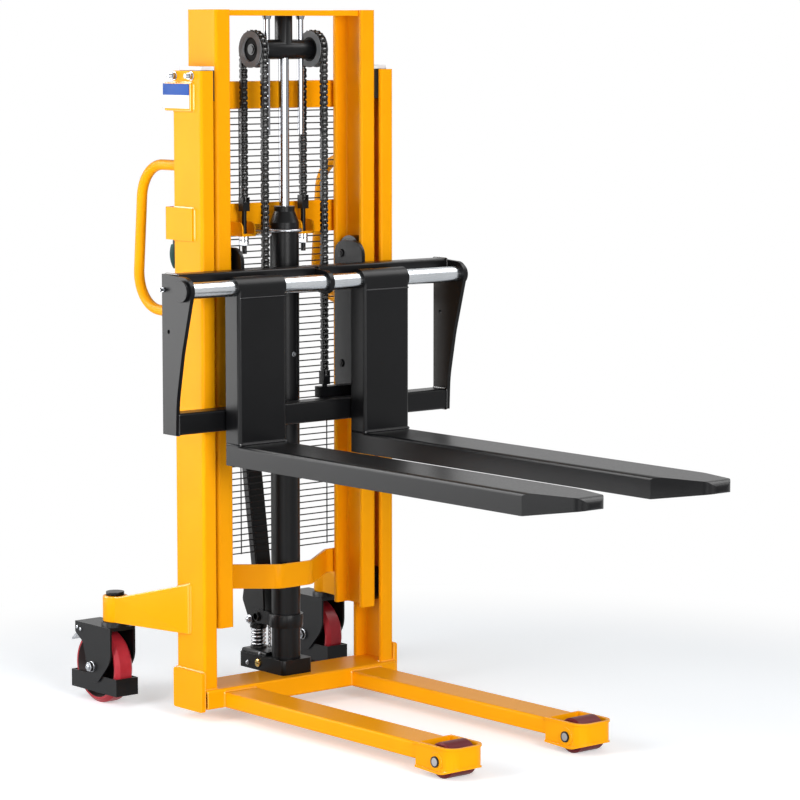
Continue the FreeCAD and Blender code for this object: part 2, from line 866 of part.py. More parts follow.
def crosshead():
    axis = (cylinder_back, sheave_height)
    upright = (0, cylinder_back)
    tube = bar("x", crosshead_radius, (-crosshead_half, crosshead_half), axis)
    post = bar("z", crosshead_post_radius, (sheave_height, beam_bottom - contact_gap), upright)
    body = joined(tube, post)
    rod_seat = (sheave_height - crosshead_radius - overrun, sheave_height)
    body = body.cut(bar("z", rod_radius + running_gap, rod_seat, upright))
    pins = []
    pin_start = crosshead_half - sheave_pin_inset
    ring_start = chain_spread + sheave_half - sheave_recess + contact_gap
    pin_end = ring_start + sheave_ring + sheave_pin_show
    for side in (-1, 1):
        rod_hole = guide_rod_radius + running_gap
        hole_z = (sheave_height - crosshead_radius - overrun, sheave_height + crosshead_radius + overrun)
        body = body.cut(bar("z", rod_hole, hole_z, (side * guide_rod_spread, cylinder_back)))
        seat = (side * pin_start, side * (crosshead_half + overrun))
        body = body.cut(bar("x", sheave_pin_radius + running_gap, seat, axis))
        pin = bar("x", sheave_pin_radius, (side * pin_start, side * pin_end), axis)
        ring = bar("x", sheave_ring_radius, (side * ring_start, side * (ring_start + sheave_ring)), axis)
        pins.append(joined(pin, ring))
    save("crosshead", body)
    save("sheave_pins", *pins)
    save_pair("chain_sheave", sheave())
    rod = bar("z", rod_radius, (piston_bottom, sheave_height), upright)
    piston_radius = cylinder_radius - cylinder_wall - running_gap
    piston = bar("z", piston_radius, (piston_bottom, piston_bottom + piston_height), upright)
    save("piston_rod", joined(rod, piston))


def cylinder():
    centre = (0, cylinder_back)
    span = (pump_top, cylinder_top)
    tube = bar("z", cylinder_radius, span, centre)
    save("lift_cylinder", tube.cut(bar("z", cylinder_radius - cylinder_wall, span, centre)))
    cone_top = gland_base + gland_cone
    bore = rod_radius + running_gap
    profile = [
        (0, bore),
        (0, cylinder_radius),
        (gland_base, cylinder_radius),
        (cone_top, gland_radius),
        (cone_top + gland_collar, gland_radius),
        (cone_top + gland_collar, bore),
    ]
    save("gland_nut", turned("z", profile, Vec(0, cylinder_back, cylinder_top)))
    height = cylinder_top - clamp_drop
    leg = cylinder_radius + clamp_wire_radius + contact_gap
    left_end = Vec(-leg, tie_inside, height)
    right_end = Vec(leg, tie_inside, height)
    start = Vec(-leg, cylinder_back, height)
    finish = Vec(leg, cylinder_back, height)
    front = Vec(0, cylinder_back - leg, height)
    path = Part.Wire([
        Part.makeLine(left_end, start),
        Part.Arc(start, front, finish).toShape(),
        Part.makeLine(finish, right_end),
    ])
    ring = Part.Wire(Part.makeCircle(clamp_wire_radius, left_end, AXES["y"]))
    hoop = path.makePipeShell([ring], True, False)
    half = cylinder_radius - contact_gap
    saddle_z = (height - saddle_height / 2, height + saddle_height / 2)
    saddle = block((-half, half), (cylinder_back, tie_inside), saddle_z)
    seat_z = (saddle_z[0] - overrun, saddle_z[1] + overrun)
    seat = bar("z", cylinder_radius + contact_gap, seat_z, centre)
    save("cylinder_clamp", hoop, saddle.cut(seat))
    strap()


def strap():
    front = cylinder_back - cylinder_radius
    step = post_depth + strap_spacer
    outer = mast_half - strap_inset
    slope = math.atan2(step - front, strap_step_half - strap_flat_half)
    shift = strap_thick * math.tan(slope / 2)
    span = (strap_bottom, strap_bottom + strap_height)
    inside = [
        (outer, step + strap_thick),
        (strap_step_half - shift, step + strap_thick, strap_bend),
        (strap_flat_half - shift, front, strap_bend),
    ]
    outside = [
        (strap_flat_half, front - strap_thick, strap_bend + strap_thick),
        (strap_step_half, step, strap_bend - strap_thick),
        (outer, step),
    ]
    right = inside + outside
    left = [(-corner[0],) + tuple(corner[1:]) for corner in right]
    corners = right[3:] + right[:3] + left[2::-1] + left[:2:-1]
    band = plate("z", corners, span)
    spacer = block((mast_half - post_flange, outer), (post_depth, step), span)
    save("cylinder_strap", band, spacer, other_side(spacer))


def mesh():
    wires = []
    upright_y = (tie_outside, tie_outside + mesh_wire)
    last = mesh_half - mesh_upright_inset
    upright_step = last * 2 / (mesh_uprights - 1)
    for index in range(mesh_uprights):
        middle = index * upright_step - last
        upright_x = (middle - mesh_wire / 2, middle + mesh_wire / 2)
        wires.append(block(upright_x, upright_y, (mesh_bottom, mesh_top + mesh_upright_overlap)))
    level_y = (upright_y[1], upright_y[1] + mesh_wire)
    count = int((mesh_top - mesh_bottom) / mesh_pitch)
    for index in range(count + 1):
        low = mesh_bottom + index * mesh_pitch
        wires.append(block((-mesh_half, mesh_half), level_y, (low, low + mesh_wire)))
    save("mesh_guard", *wires)


def caster_arm():
    """Tapered arm on the right post with the swivel boss at its end."""
    plan = [
        (mast_half, arm_front),
        (mast_half + arm_front_thick, arm_front),
        (caster_spread + arm_width / 2, caster_back),
        (caster_spread - arm_width / 2, caster_back),
        (mast_half, post_depth),
    ]
    root_top = caster_boss_bottom + arm_root_height
    side = [
        (arm_front, caster_boss_bottom),
        (arm_front, root_top),
        (caster_back - caster_boss_radius, boss_top),
        (caster_back, boss_top),
        (caster_back, caster_boss_bottom),
    ]
    arm = plate("z", plan, (caster_boss_bottom, root_top))
    arm = arm.common(plate("x", side, (mast_half, caster_spread + arm_width / 2 + overrun)))
    centre = (caster_spread, caster_back)
    boss = bar("z", caster_boss_radius, (caster_boss_bottom, boss_top), centre)
    hole_span = (caster_boss_bottom - overrun, boss_top + overrun)
    stem_hole = bar("z", caster_stem_radius + running_gap, hole_span, centre)
    return joined(arm, boss).cut(stem_hole)


def wheel_profile():
    """Half section of the caster wheel, a rimmed hub with a tread, as (distance across, radius)."""
    half = caster_wheel_width / 2
    tread_foot = caster_wheel_radius - caster_tread
    bore = caster_axle_radius + running_gap
    return [
        (-caster_hub_width / 2, bore),
        (-caster_hub_width / 2, caster_hub_radius),
        (-caster_web / 2, caster_hub_radius),
        (-caster_web / 2, tread_foot - caster_tread),
        (-half, tread_foot),
        (-half, caster_wheel_radius - caster_wheel_edge),
        (caster_wheel_edge - half, caster_wheel_radius),
        (half - caster_wheel_edge, caster_wheel_radius),
        (half, caster_wheel_radius - caster_wheel_edge),
        (half, tread_foot),
        (caster_web / 2, tread_foot - caster_tread),
        (caster_web / 2, caster_hub_radius),
        (caster_hub_width / 2, caster_hub_radius),
        (caster_hub_width / 2, bore),
    ]


def caster_fork():
    """Swivelling fork with stem, bearing, cheeks, axle and the guard band round the wheel."""
    front = caster_back - caster_front
    rear = brake_pin_back + brake_pin_inset
    outer = caster_plate_gap + caster_plate
    waist = caster_wheel_radius * caster_waist_share
    rear_bottom = fork_crown_top - caster_rear_depth
    cheek_corners = [
        (front, fork_crown_top),
        (rear, fork_crown_top),
        (rear, rear_bottom),
        (wheel_back + waist, rear_bottom - caster_rear_fall, waist * caster_bend_share),
        (wheel_back + caster_cheek_radius, caster_wheel_radius, caster_cheek_radius),
        (wheel_back + caster_cheek_radius, caster_wheel_radius - waist, caster_cheek_radius),
        (wheel_back - caster_cheek_radius, caster_wheel_radius - waist, caster_cheek_radius),
        (front, caster_wheel_radius + caster_cheek_radius, caster_front_bend),
    ]
    middle = caster_spread
    pieces = []
    for side in (-1, 1):
        span = (middle + side * caster_plate_gap, middle + side * outer)
        pieces.append(plate("x", cheek_corners, span))
    crown = block((middle - outer, middle + outer), (front, rear), (crown_bottom, fork_crown_top))
    swivel = (middle, caster_back)
    pieces.append(bar("z", caster_bearing_radius, (fork_crown_top, caster_boss_bottom - contact_gap), swivel))
    pieces.append(bar("z", caster_stem_radius, (fork_crown_top, boss_top - contact_gap), swivel))
    axle_place = (wheel_back, caster_wheel_radius)
    nut_end = outer + caster_nut
    pieces.append(bar("x", caster_axle_radius, (middle - nut_end, middle + nut_end), axle_place))
    for side in (-1, 1):
        nut_span = (middle + side * outer, middle + side * nut_end)
        pieces.append(bar("x", caster_nut_radius, nut_span, axle_place))
    guard_x = (middle - caster_plate_gap, middle + caster_plate_gap)
    guard_z = (guard_bottom, guard_bottom + guard_height)
    guard = block(guard_x, (wheel_back - guard_half, wheel_back + guard_half), guard_z)
    inside_half = guard_half - guard_plate
    inside_x = (guard_x[0] + guard_plate, guard_x[1] - guard_plate)
    inside_z = (guard_z[0] - overrun, guard_z[1] + overrun)
    guard = guard.cut(block(inside_x, (wheel_back - inside_half, wheel_back + inside_half), inside_z))
    pin_place = brake_pin()
    pieces.append(guard)
    pieces.append(bar("x", brake_pin_radius, (middle - outer, middle + outer), pin_place))
    return joined(crown, *pieces)


def brake_pin():
    """Place of the brake lever's pin at the rear of the caster fork."""
    return (brake_pin_back, brake_pin_height)


def brake_lever():
    """Foot lever on a pin at the rear of the caster fork."""
    back, height = brake_pin()
    span = (caster_spread - brake_half, caster_spread + brake_half)
    eye = bar("x", brake_eye, span, (back, height))
    pedal = plate("x", [
        (back, height + brake_plate / 2),
        (back, height - brake_eye),
        (back + brake_reach, height - brake_fall - brake_plate),
        (back + brake_reach, height - brake_fall),
    ], span)
    hole = bar("x", brake_pin_radius + running_gap, (span[0] - overrun, span[1] + overrun), (back, height))
    return joined(eye, pedal).cut(hole)


def casters():
    arm = caster_arm()
    save("caster_arms", arm, other_side(arm))
    cap = bar("z", caster_cap_radius, (boss_top, boss_top + caster_cap_height), (caster_spread, caster_back))
    save("caster_caps", cap, other_side(cap))
    save_pair("caster_fork", caster_fork())
    wheel_centre = Vec(caster_spread, wheel_back, caster_wheel_radius)
    save_pair("caster_wheel", turned("x", wheel_profile(), wheel_centre))
    save_pair("brake_lever", brake_lever())


def push_handles():
    side = mast_half - handle_inset
    points = [
        Vec(side, post_depth, handle_top),
        Vec(side, handle_top_reach, handle_top),
        Vec(side, handle_low_reach, handle_low),
        Vec(side, post_depth, handle_foot),
    ]
    tube = bent_rod(points, handle_bend, handle_tube_radius)
    around = handle_tube_radius + overrun
    behind_post = block(
        (side - around, side + around),
        (post_depth, handle_low_reach + around),
        (handle_foot - around, handle_top + around),
    )
    tube = tube.common(behind_post)
    save("push_handles", tube, other_side(tube))


def carriage():
    inner = carriage_plate_half - carriage_plate_thick
    corners = [
        (carriage_plate_front, carriage_plate_bottom),
        (carriage_plate_back, carriage_plate_bottom, carriage_plate_corner),
        (carriage_plate_back, carriage_plate_top, carriage_plate_corner),
        (carriage_plate_front, carriage_plate_top, carriage_plate_corner),
    ]
    axle_end = inner_face - post_web - contact_gap
    parts = [plate("x", corners, (inner, carriage_plate_half))]
    for height in (upper_roller_height, lower_roller_height):
        parts.append(bar("x", roller_axle_radius, (carriage_plate_half, axle_end), (inner_middle, height)))
    right = joined(*parts)
    save("carriage_plates", right, other_side(right))
    roller_start = axle_end - roller_end_room - roller_width
    for level, height in (("upper", upper_roller_height), ("lower", lower_roller_height)):
        save_pair("carriage_roller_" + level, rolling_ring(roller_start, (inner_middle, height)))
    low = (bar_front, upper_bar_bottom)
    high = (bar_back, upper_bar_bottom + bar_size)
    half_bar = box_tube("x", low, high, bar_wall, bar_corner, (lug_thick / 2, bar_half))
    save("upper_bar", half_bar, other_side(half_bar))
    low = (bar_front, lower_bar_bottom)
    high = (bar_back, lower_bar_bottom + bar_size)
    save("lower_bar", box_tube("x", low, high, bar_wall, bar_corner, (-bar_half, bar_half)))
    carriage_ends()
    carriage_anchors(inner)


def carriage_ends():
    """Tapered end plates, the fork shaft between them and the lug that holds it in the middle."""
    axis = (shaft_back, shaft_height)
    outer = bar_half + side_plate_thick
    top = upper_bar_bottom + bar_size
    span = (bar_half, outer)
    corners = [
        (bar_back, lower_bar_bottom),
        (bar_back, top),
        (shaft_back, shaft_height + side_plate_head),
        (shaft_back - side_plate_head, shaft_height),
        (bar_front - side_plate_waist, shaft_height - side_plate_waist_drop, side_plate_bend),
        (bar_front - side_plate_foot, lower_bar_bottom + side_plate_foot_rise, side_plate_bend),
        (bar_front, lower_bar_bottom),
    ]
    head = bar("x", side_plate_head, span, axis)
    hole_span = (bar_half - overrun, outer + overrun)
    keeper_place = ((bar_back + bar_front) / 2, shaft_height - keeper_drop)
    side = joined(plate("x", corners, span), head)
    side = side.cut(bar("x", shaft_radius + running_gap, hole_span, axis))
    side = side.cut(bar("x", keeper_hole, hole_span, keeper_place))
    save("side_plates", side, other_side(side))
    disc_end = outer + shaft_disc
    shaft = joined(
        bar("x", shaft_radius, (-outer, outer), axis),
        bar("x", shaft_disc_radius, (outer, disc_end), axis),
        bar("x", shaft_disc_radius, (-disc_end, -outer), axis),
    )
    save("fork_shaft", shaft)
    lug_span = (-lug_thick / 2, lug_thick / 2)
    lug_corners = [
        (bar_back, upper_bar_bottom),
        (bar_back, top),
        (shaft_back, shaft_height + lug_head),
        (shaft_back, shaft_height - lug_head),
    ]
    lug = joined(plate("x", lug_corners, lug_span), bar("x", lug_head, lug_span, axis))
    hole_span = (lug_span[0] - overrun, lug_span[1] + overrun)
    save("centre_lug", lug.cut(bar("x", shaft_radius + running_gap, hole_span, axis)))


def carriage_anchors(inner):
    """Blocks on the carriage plates that take the front ends of the chains."""
    seat = (anchor_block_bottom, anchor_block_bottom + anchor_block_height)
    depth = (anchor_block_back - anchor_block_depth, anchor_block_back)
    block_right = block((chain_spread - anchor_block_inside, inner), depth, seat)
    hole_span = (seat[0] - overrun, seat[1] + overrun)
    hole = bar("z", anchor_bolt_radius + running_gap, hole_span, (chain_spread, chain_front))
    block_right = block_right.cut(hole)
    bolts = [chain_clevis(side, chain_front, front_chain_end, seat) for side in (-1, 1)]
    save("chain_clevises", block_right, other_side(block_right), *bolts)


def fork_blade(centre):
    """Blade of a fork, a folded channel open below with a tapered tip, and the hollow inside it."""
    half = fork_width / 2
    rear = shaft_back + fork_head
    taper = -(fork_reach - fork_taper)
    tip = -fork_reach
    hollow_tip = tip + fork_tip_solid
    wide = half + overrun
    wide_taper = taper + overrun * fork_taper / (half - fork_tip_half)
    plan = [
        (centre - wide, rear + overrun),
        (centre + wide, rear + overrun),
        (centre + wide, wide_taper),
        (centre + fork_tip_half, tip, fork_tip_bend),
        (centre - fork_tip_half, tip, fork_tip_bend),
        (centre - wide, wide_taper),
    ]
    inner_half = half - fork_wall
    inner_tip = fork_tip_half - fork_wall
    inner_plan = [
        (centre - inner_half, rear + overrun),
        (centre + inner_half, rear + overrun),
        (centre + inner_half, taper, fork_taper_bend),
        (centre + inner_tip, hollow_tip),
        (centre - inner_tip, hollow_tip),
        (centre - inner_half, taper, fork_taper_bend),
    ]
    profile = [
        (rear, fork_bottom),
        (rear, fork_top),
        (tip + fork_nose, fork_top, fork_nose_bend),
        (tip, fork_top - fork_nose, fork_nose),
        (tip, fork_bottom + fork_tip_rise, fork_lip_bend),
        (taper, fork_bottom, fork_taper_bend),
    ]
    rounded = [
        (centre - half, fork_bottom - overrun),
        (centre + half, fork_bottom - overrun),
        (centre + half, fork_top, fork_edge),
        (centre - half, fork_top, fork_edge),
    ]
    blade = plate("y", rounded, (tip - overrun, rear + overrun))
    blade = blade.common(plate("z", plan, (fork_bottom - overrun, fork_top + overrun)))
    blade = blade.common(plate("x", profile, (centre - wide, centre + wide)))
    hollow = plate("z", inner_plan, (fork_bottom - overrun, fork_top - fork_roof))
    return blade, hollow


def fork(centre):
    """Fork on the right side: blade, shank that hangs on the shaft, and the pad on the lower bar."""
    blade, hollow = fork_blade(centre)
    half = fork_width / 2
    axis = (shaft_back, shaft_height)
    span = (centre - half, centre + half)
    shank_y = (shaft_back - fork_head, shaft_back + fork_head)
    shank_corners = [
        (span[0], shank_y[1]),
        (span[0], shank_y[0], fork_edge),
        (span[1], shank_y[0], fork_edge),
        (span[1], shank_y[1]),
    ]
    shank = plate("z", shank_corners, (fork_top - fork_roof, shaft_height))
    head = bar("x", fork_head, span, axis)
    pad_bottom = lower_bar_bottom + bar_size / 2 - fork_pad_height / 2
    pad = block(
        (centre - fork_pad_half, centre + fork_pad_half),
        (shank_y[1], bar_front - contact_gap),
        (pad_bottom, pad_bottom + fork_pad_height),
    )
    inside = block(
        (span[0] + fork_shank_wall, span[1] - fork_shank_wall),
        (shank_y[0] + fork_shank_wall, shank_y[1] - fork_shank_wall),
        (fork_bottom, shaft_height - fork_shank_solid),
    )
    whole = joined(blade, shank, head, pad).cut(hollow).cut(inside)
    return whole.cut(bar("x", shaft_radius + running_gap, (span[0] - overrun, span[1] + overrun), axis))


def pivot_bracket():
    """Ring round the cylinder with two ears and the pin that the tiller turns on."""
    centre = (0, cylinder_back)
    height = (pivot_height - bracket_half, pivot_height + bracket_half)
    inside = cylinder_radius + contact_gap
    ring = bar("z", inside + bracket_ring, height, centre)
    ears = []
    for side in (-1, 1):
        span = (side * bracket_gap, side * (bracket_gap + bracket_plate))
        ears.append(block(span, (cylinder_back, pivot_back), height))
        ears.append(bar("x", bracket_half, span, (pivot_back, pivot_height)))
    pin_end = bracket_gap + bracket_plate + pivot_pin_show
    ears.append(bar("x", pivot_radius, (-pin_end, pin_end), (pivot_back, pivot_height)))
    bore = bar("z", inside, (height[0] - overrun, height[1] + overrun), centre)
    return joined(ring, *ears).cut(bore)


def pump():
    """Pump block with the raised valve block, the pivot bracket on the cylinder, plunger and spring."""
    low = (-pump_half, pump_front)
    high = (pump_half, pump_back)
    body = plate("z", section(low, high, pump_corner), (base_top, pump_top))
    valve_corners = [
        (-valve_half, base_top),
        (valve_half, base_top),
        (valve_half, pump_top + valve_height, valve_edge),
        (-valve_half, pump_top + valve_height, valve_edge),
    ]
    valve = plate("y", valve_corners, (valve_front, pump_back))
    place = (0, barrel_back)
    barrel = bar("z", barrel_radius, (pump_top, barrel_top), place)
    bore_bottom = barrel_top - plunger_depth - plunger_stroke
    bore = bar("z", plunger_radius + running_gap, (bore_bottom, barrel_top + overrun), place)
    seat_z = (pump_top, pump_top + valve_height + overrun)
    cylinder_seat = bar("z", cylinder_radius + contact_gap, seat_z, (0, cylinder_back))
    body = joined(body, valve, barrel).cut(bore).cut(cylinder_seat)
    save("pump_block", body, pivot_bracket())
    cap_bottom = barrel_top + spring_height
    stem = bar("z", plunger_radius, (barrel_top - plunger_depth, cap_bottom), place)
    cap = bar("z", plunger_cap_radius, (cap_bottom, cap_bottom + plunger_cap), place)
    save("pump_plunger", joined(stem, cap))
    return_spring()


def tangent_arc(start, corner, finish):
    """Arc from start to finish that touches both lines through the corner."""
    middle = (start + finish) * 0.5
    half_turn = math.acos(min((finish - start).Length / 2 / (corner - start).Length, 1))
    inwards = corner - middle
    inwards.normalize()
    rise = (finish - start).Length / 2 * math.tan(half_turn / 2)
    return Part.Arc(start, middle + inwards * rise, finish).toShape()


def biarc(start, start_way, finish, finish_way):
    """Two arcs between two points that keep the given directions at both ends."""
    across = finish - start
    ways = start_way + finish_way
    spread = 2 * (1 - start_way.dot(finish_way))
    lean = across.dot(ways)
    reach = (math.sqrt(lean * lean + spread * across.dot(across)) - lean) / spread
    first_corner = start + start_way * reach
    second_corner = finish - finish_way * reach
    meeting = (first_corner + second_corner) * 0.5
    return [tangent_arc(start, first_corner, meeting), tangent_arc(meeting, second_corner, finish)]


def return_spring():
    """Coil spring round the plunger: one unbroken tube on pairs of arcs for each quarter turn."""
    rise = spring_height - spring_wire * 2 - contact_gap * 2
    steps = spring_turns * 4
    start_height = barrel_top + spring_wire + contact_gap
    places, ways = [], []
    for step in range(steps + 1):
        turn = step * math.pi / 2
        height = start_height + rise * step / steps
        across = spring_radius * math.cos(turn)
        along = spring_radius * math.sin(turn)
        places.append(Vec(across, barrel_back + along, height))
        way = Vec(-along, across, rise / steps / (math.pi / 2))
        ways.append(way.normalize())
    edges = []
    for step in range(steps):
        edges += biarc(places[step], ways[step], places[step + 1], ways[step + 1])
    path = Part.Wire(edges)
    tangent = edges[0].tangentAt(edges[0].FirstParameter)
    ring = Part.Wire(Part.makeCircle(spring_wire, places[0], tangent))
    save("return_spring", path.makePipeShell([ring], True, False))
    gaps = []
    for first in range(len(places)):
        for second in range(first + 3, len(places)):
            gaps.append((places[first] - places[second]).Length - spring_wire * 2)
    print("least gap between turns of the return spring:", round(min(gaps), 2))


def leaned(shape):
    """Piece drawn upright above the tiller's pivot, leaned back to the tiller's angle."""
    turned_shape = shape.copy()
    turned_shape.rotate(Vec(0, pivot_back, pivot_height), AXES["x"], -tiller_lean_deg)
    return turned_shape


def tiller():
    """Tiller bar with its forked foot, the pressing roller, the loop handle and its grips."""
    foot_top = pivot_height + tiller_foot
    bar_top = foot_top + tiller_length - tiller_foot
    half = tiller_width / 2
    depth = tiller_depth / 2
    low = (-half, pivot_back - depth)
    high = (half, pivot_back + depth)
    upright = plate("z", section(low, high, tiller_corner), (foot_top - tiller_eye, bar_top))
    cap_top = barrel_top + spring_height + plunger_cap
    press_place = (barrel_back, cap_top + contact_gap + press_roller_radius)
    press_eye = press_roller_radius - contact_gap
    cheek_outer = bracket_gap - contact_gap
    cheek_inner = cheek_outer - tiller_cheek
    cheek_corners = [
        (pivot_back - tiller_eye, pivot_height),
        (pivot_back - depth, foot_top),
        (pivot_back + tiller_foot_back, foot_top),
        (pivot_back + tiller_heel_back, pivot_height + tiller_heel_rise, tiller_heel_bend),
        (barrel_back + press_eye, press_place[1]),
        (barrel_back, press_place[1] - press_eye),
        (pivot_back, pivot_height - tiller_eye),
    ]
    foot = []
    for side in (-1, 1):
        span = (side * cheek_inner, side * cheek_outer)
        foot.append(plate("x", cheek_corners, span))
        foot.append(bar("x", tiller_eye, span, (pivot_back, pivot_height)))
        foot.append(bar("x", press_eye, span, press_place))
        head_span = (side * cheek_outer, side * (cheek_outer + press_pin_head))
        foot.append(bar("x", press_pin_head, head_span, press_place))
    foot.append(bar("x", press_roller_radius, (-cheek_inner, cheek_inner), press_place))
    pin_end = cheek_outer + overrun
    eye_hole = bar("x", pivot_radius + running_gap, (-pin_end, pin_end), (pivot_back, pivot_height))
    loop_bottom = bar_top
    loop_top = loop_bottom + loop_height
    loop_corners = [
        (-loop_half, loop_bottom, loop_bend),
        (loop_half, loop_bottom, loop_bend),
        (loop_half, loop_top, loop_bend),
        (-loop_half, loop_top, loop_bend),
    ]
    points = [spot("y", pivot_back, corner[:2]) for corner in loop_corners]
    path = Part.Wire(bent_edges(points, [loop_bend] * len(points), True))
    edge = path.Edges[0]
    first = edge.valueAt(edge.FirstParameter)
    ring = Part.Wire(Part.makeCircle(loop_tube_radius, first, edge.tangentAt(edge.FirstParameter)))
    loop = path.makePipeShell([ring], True, False)
    ears = lever_ears(bar_top)
    whole = joined(leaned(joined(upright, loop, *ears)), *foot)
    save("tiller_bar", whole.cut(eye_hole))
    grips = []
    middle = (loop_bottom + loop_top) / 2
    for side in (-1, 1):
        place = (side * loop_half, pivot_back)
        span = (middle - grip_length / 2, middle + grip_length / 2)
        grips.append(leaned(grip(place, span)))
    save("tiller_grips", *grips)
    save("release_lever", leaned(release_lever(bar_top)))


def grip(place, span):
    """Barrel-shaped sleeve round one side of the loop."""
    bore = loop_tube_radius + running_gap
    low, high = [spot("z", height, place) for height in span]
    middle = (low + high) * 0.5
    inner = AXES["x"] * bore
    outer = AXES["x"] * grip_radius
    section_edges = [
        Part.makeLine(low + inner, low + outer),
        Part.Arc(low + outer, middle + AXES["x"] * grip_swell, high + outer).toShape(),
        Part.makeLine(high + outer, high + inner),
        Part.makeLine(high + inner, low + inner),
    ]
    face = Part.Face(Part.Wire(section_edges))
    return face.revolve(low, AXES["z"], 360)


def lever_place(bar_top):
    """Place of the release lever's pin behind the top of the tiller bar."""
    return (pivot_back + tiller_depth / 2 + lever_ear + lever_pin_radius, bar_top - lever_drop)


def lever_ears(bar_top):
    """Two ears with the pin that carries the release lever."""
    back, height = lever_place(bar_top)
    reach = lever_pin_radius + lever_ear
    pieces = []
    for side in (-1, 1):
        span = (side * lever_half, side * (lever_half + lever_plate))
        pieces.append(block(span, (pivot_back, back), (height - reach, height + reach)))
        pieces.append(bar("x", reach, span, (back, height)))
    end = lever_half + lever_plate
    pieces.append(bar("x", lever_pin_radius, (-end, end), (back, height)))
    return pieces


def release_lever(bar_top):
    """Hand lever that opens the lowering valve."""
    back, height = lever_place(bar_top)
    half = lever_half - contact_gap
    eye_radius = lever_pin_radius + lever_ear - contact_gap
    eye = bar("x", eye_radius, (-half, half), (back, height))
    blade = plate("x", [
        (back, height - eye_radius * lever_root_share),
        (back + eye_radius, height),
        (back + eye_radius + lever_plate, height + lever_length),
        (back + eye_radius, height + lever_length),
        (back, height + eye_radius),
    ], (-half, half))
    hole = bar("x", lever_pin_radius + running_gap, (-lever_half, lever_half), (back, height))
    return joined(eye, blade).cut(hole)


def main():
    os.makedirs("parts", exist_ok=True)
    base_frame()
    load_wheels()
    mast()
    ties()
    chains()
    crosshead()
    cylinder()
    mesh()
    casters()
    push_handles()
    carriage()
    save("fork_right", fork(fork_right_centre))
    save("fork_left", other_side(fork(fork_left_centre)))
    pump()
    tiller()


main()
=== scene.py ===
import math

import bmesh
import bpy
from mathutils import Matrix, Vector


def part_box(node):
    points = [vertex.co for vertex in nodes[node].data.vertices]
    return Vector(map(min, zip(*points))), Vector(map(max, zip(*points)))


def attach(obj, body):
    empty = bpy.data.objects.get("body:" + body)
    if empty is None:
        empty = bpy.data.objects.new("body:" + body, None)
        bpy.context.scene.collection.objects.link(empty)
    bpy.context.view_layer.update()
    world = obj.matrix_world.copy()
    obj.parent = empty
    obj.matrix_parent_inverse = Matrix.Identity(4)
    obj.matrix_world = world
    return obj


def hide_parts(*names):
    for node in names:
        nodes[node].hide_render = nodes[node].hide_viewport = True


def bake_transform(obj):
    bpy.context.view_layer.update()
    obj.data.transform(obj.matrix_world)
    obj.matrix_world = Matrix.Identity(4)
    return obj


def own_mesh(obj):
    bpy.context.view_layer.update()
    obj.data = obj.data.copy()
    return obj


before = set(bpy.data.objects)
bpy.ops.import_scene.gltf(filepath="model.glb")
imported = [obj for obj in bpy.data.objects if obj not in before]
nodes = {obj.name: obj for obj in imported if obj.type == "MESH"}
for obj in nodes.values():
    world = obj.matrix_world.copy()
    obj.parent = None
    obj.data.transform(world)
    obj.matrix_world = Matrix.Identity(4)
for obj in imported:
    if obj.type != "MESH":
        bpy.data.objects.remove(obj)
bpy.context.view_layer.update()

# Looks of the hand pallet stacker, in metres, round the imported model.
# X runs across the mast, Y from the fork tips towards the tiller, Z up.

X_AXIS = Vector((1, 0, 0))
Y_AXIS = Vector((0, 1, 0))
Z_AXIS = Vector((0, 0, 1))
MM = 0.001
SIDES = (-1, 1)
SIDE_NAMES = ("left", "right")
SMOOTH_ANGLE = math.radians(35)
WHITE = (1, 1, 1, 1)

# Camera, as found from the photo: a long lens that looks slightly down from the front left
CAMERA_PLACE = Vector((-4.689, -5.5645, 1.625))
CAMERA_AZIMUTH = math.radians(-40.0)
CAMERA_TILT = math.radians(6.63)
CAMERA_LENS = 144.0
SENSOR_WIDTH = 36.0
CLIP_END = 100.0

# Light of the room on matt surfaces, and the floor's reach, colour, glow and fade to white
ROOM_LEVEL = 0.37
FLOOR_HALF = 30.0
FLOOR_COLOUR = (0.88, 0.92, 0.96, 1)
FLOOR_ROUGHNESS = 0.9
FLOOR_GLOW = 0.37
FLOOR_FADE = (1.2, 2.0)

# Two soft lamps, and cards that show in glossy surfaces alone:
# name, place, aim, width and height, power, whether it is a card
LAMPS = (
    ("front", (-1.2, -4.3, 1.7), (0, 0.2, 0.8), (2.0, 2.0), 165, False),
    ("left", (-2.6, 0.45, 1.3), (0, 0.40, 0.8), (1.6, 2.2), 52, False),
    ("rear_card", (-3.0, 3.3, 1.0), (0, 0.2, 0.8), (2.6, 2.2), 120, True),
    ("top_card", (-2.3, 3.0, 3.0), (0, 0, 0.7), (2.6, 1.8), 190, True),
    ("edge_card", (-4.3, -3.1, 1.0), (0, 0, 0.8), (1.2, 2.4), 60, True),
    ("right_card", (2.0, -0.6, 3.4), (0, 0.1, 1.0), (2.4, 1.8), 70, True),
)

# The posts' faces towards the forks, from which small places are counted back
front_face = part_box("outer_post_left")[0].y


def at(x, y, z):
    """Point from millimetres across the mast, back from the posts' faces and up from the floor."""
    return Vector((x * MM, front_face + y * MM, z * MM))


def beside(place, side):
    """Such a point on the left of the mast, where side is -1, or on the right, where it is 1."""
    x, y, z = place
    return at(side * x, y, z)


# Materials

# Part of a noise's range that colours and gloss follow, detail of the noise in paint, strength of its
# relief, and the usual specular level
NOISE_LOW, NOISE_HIGH = 0.3, 0.7
PAINT_DETAIL = 3.0
RELIEF_STRENGTH = 0.35
SPECULAR = 0.2

# Pieces in two bands: gloss, grain, drift of the roughness, how sharply the bands meet, and the height
# at which the guide pads go from painted shade, for the shadow in the slit between the posts, to white
PRINT_SPECULAR = 0.1
PRINT_GRAIN = 300.0
PRINT_DRIFT = 0.06
BAND_EDGE = (0.45, 0.55)
PAD_SHADE_SPLIT = 1.528

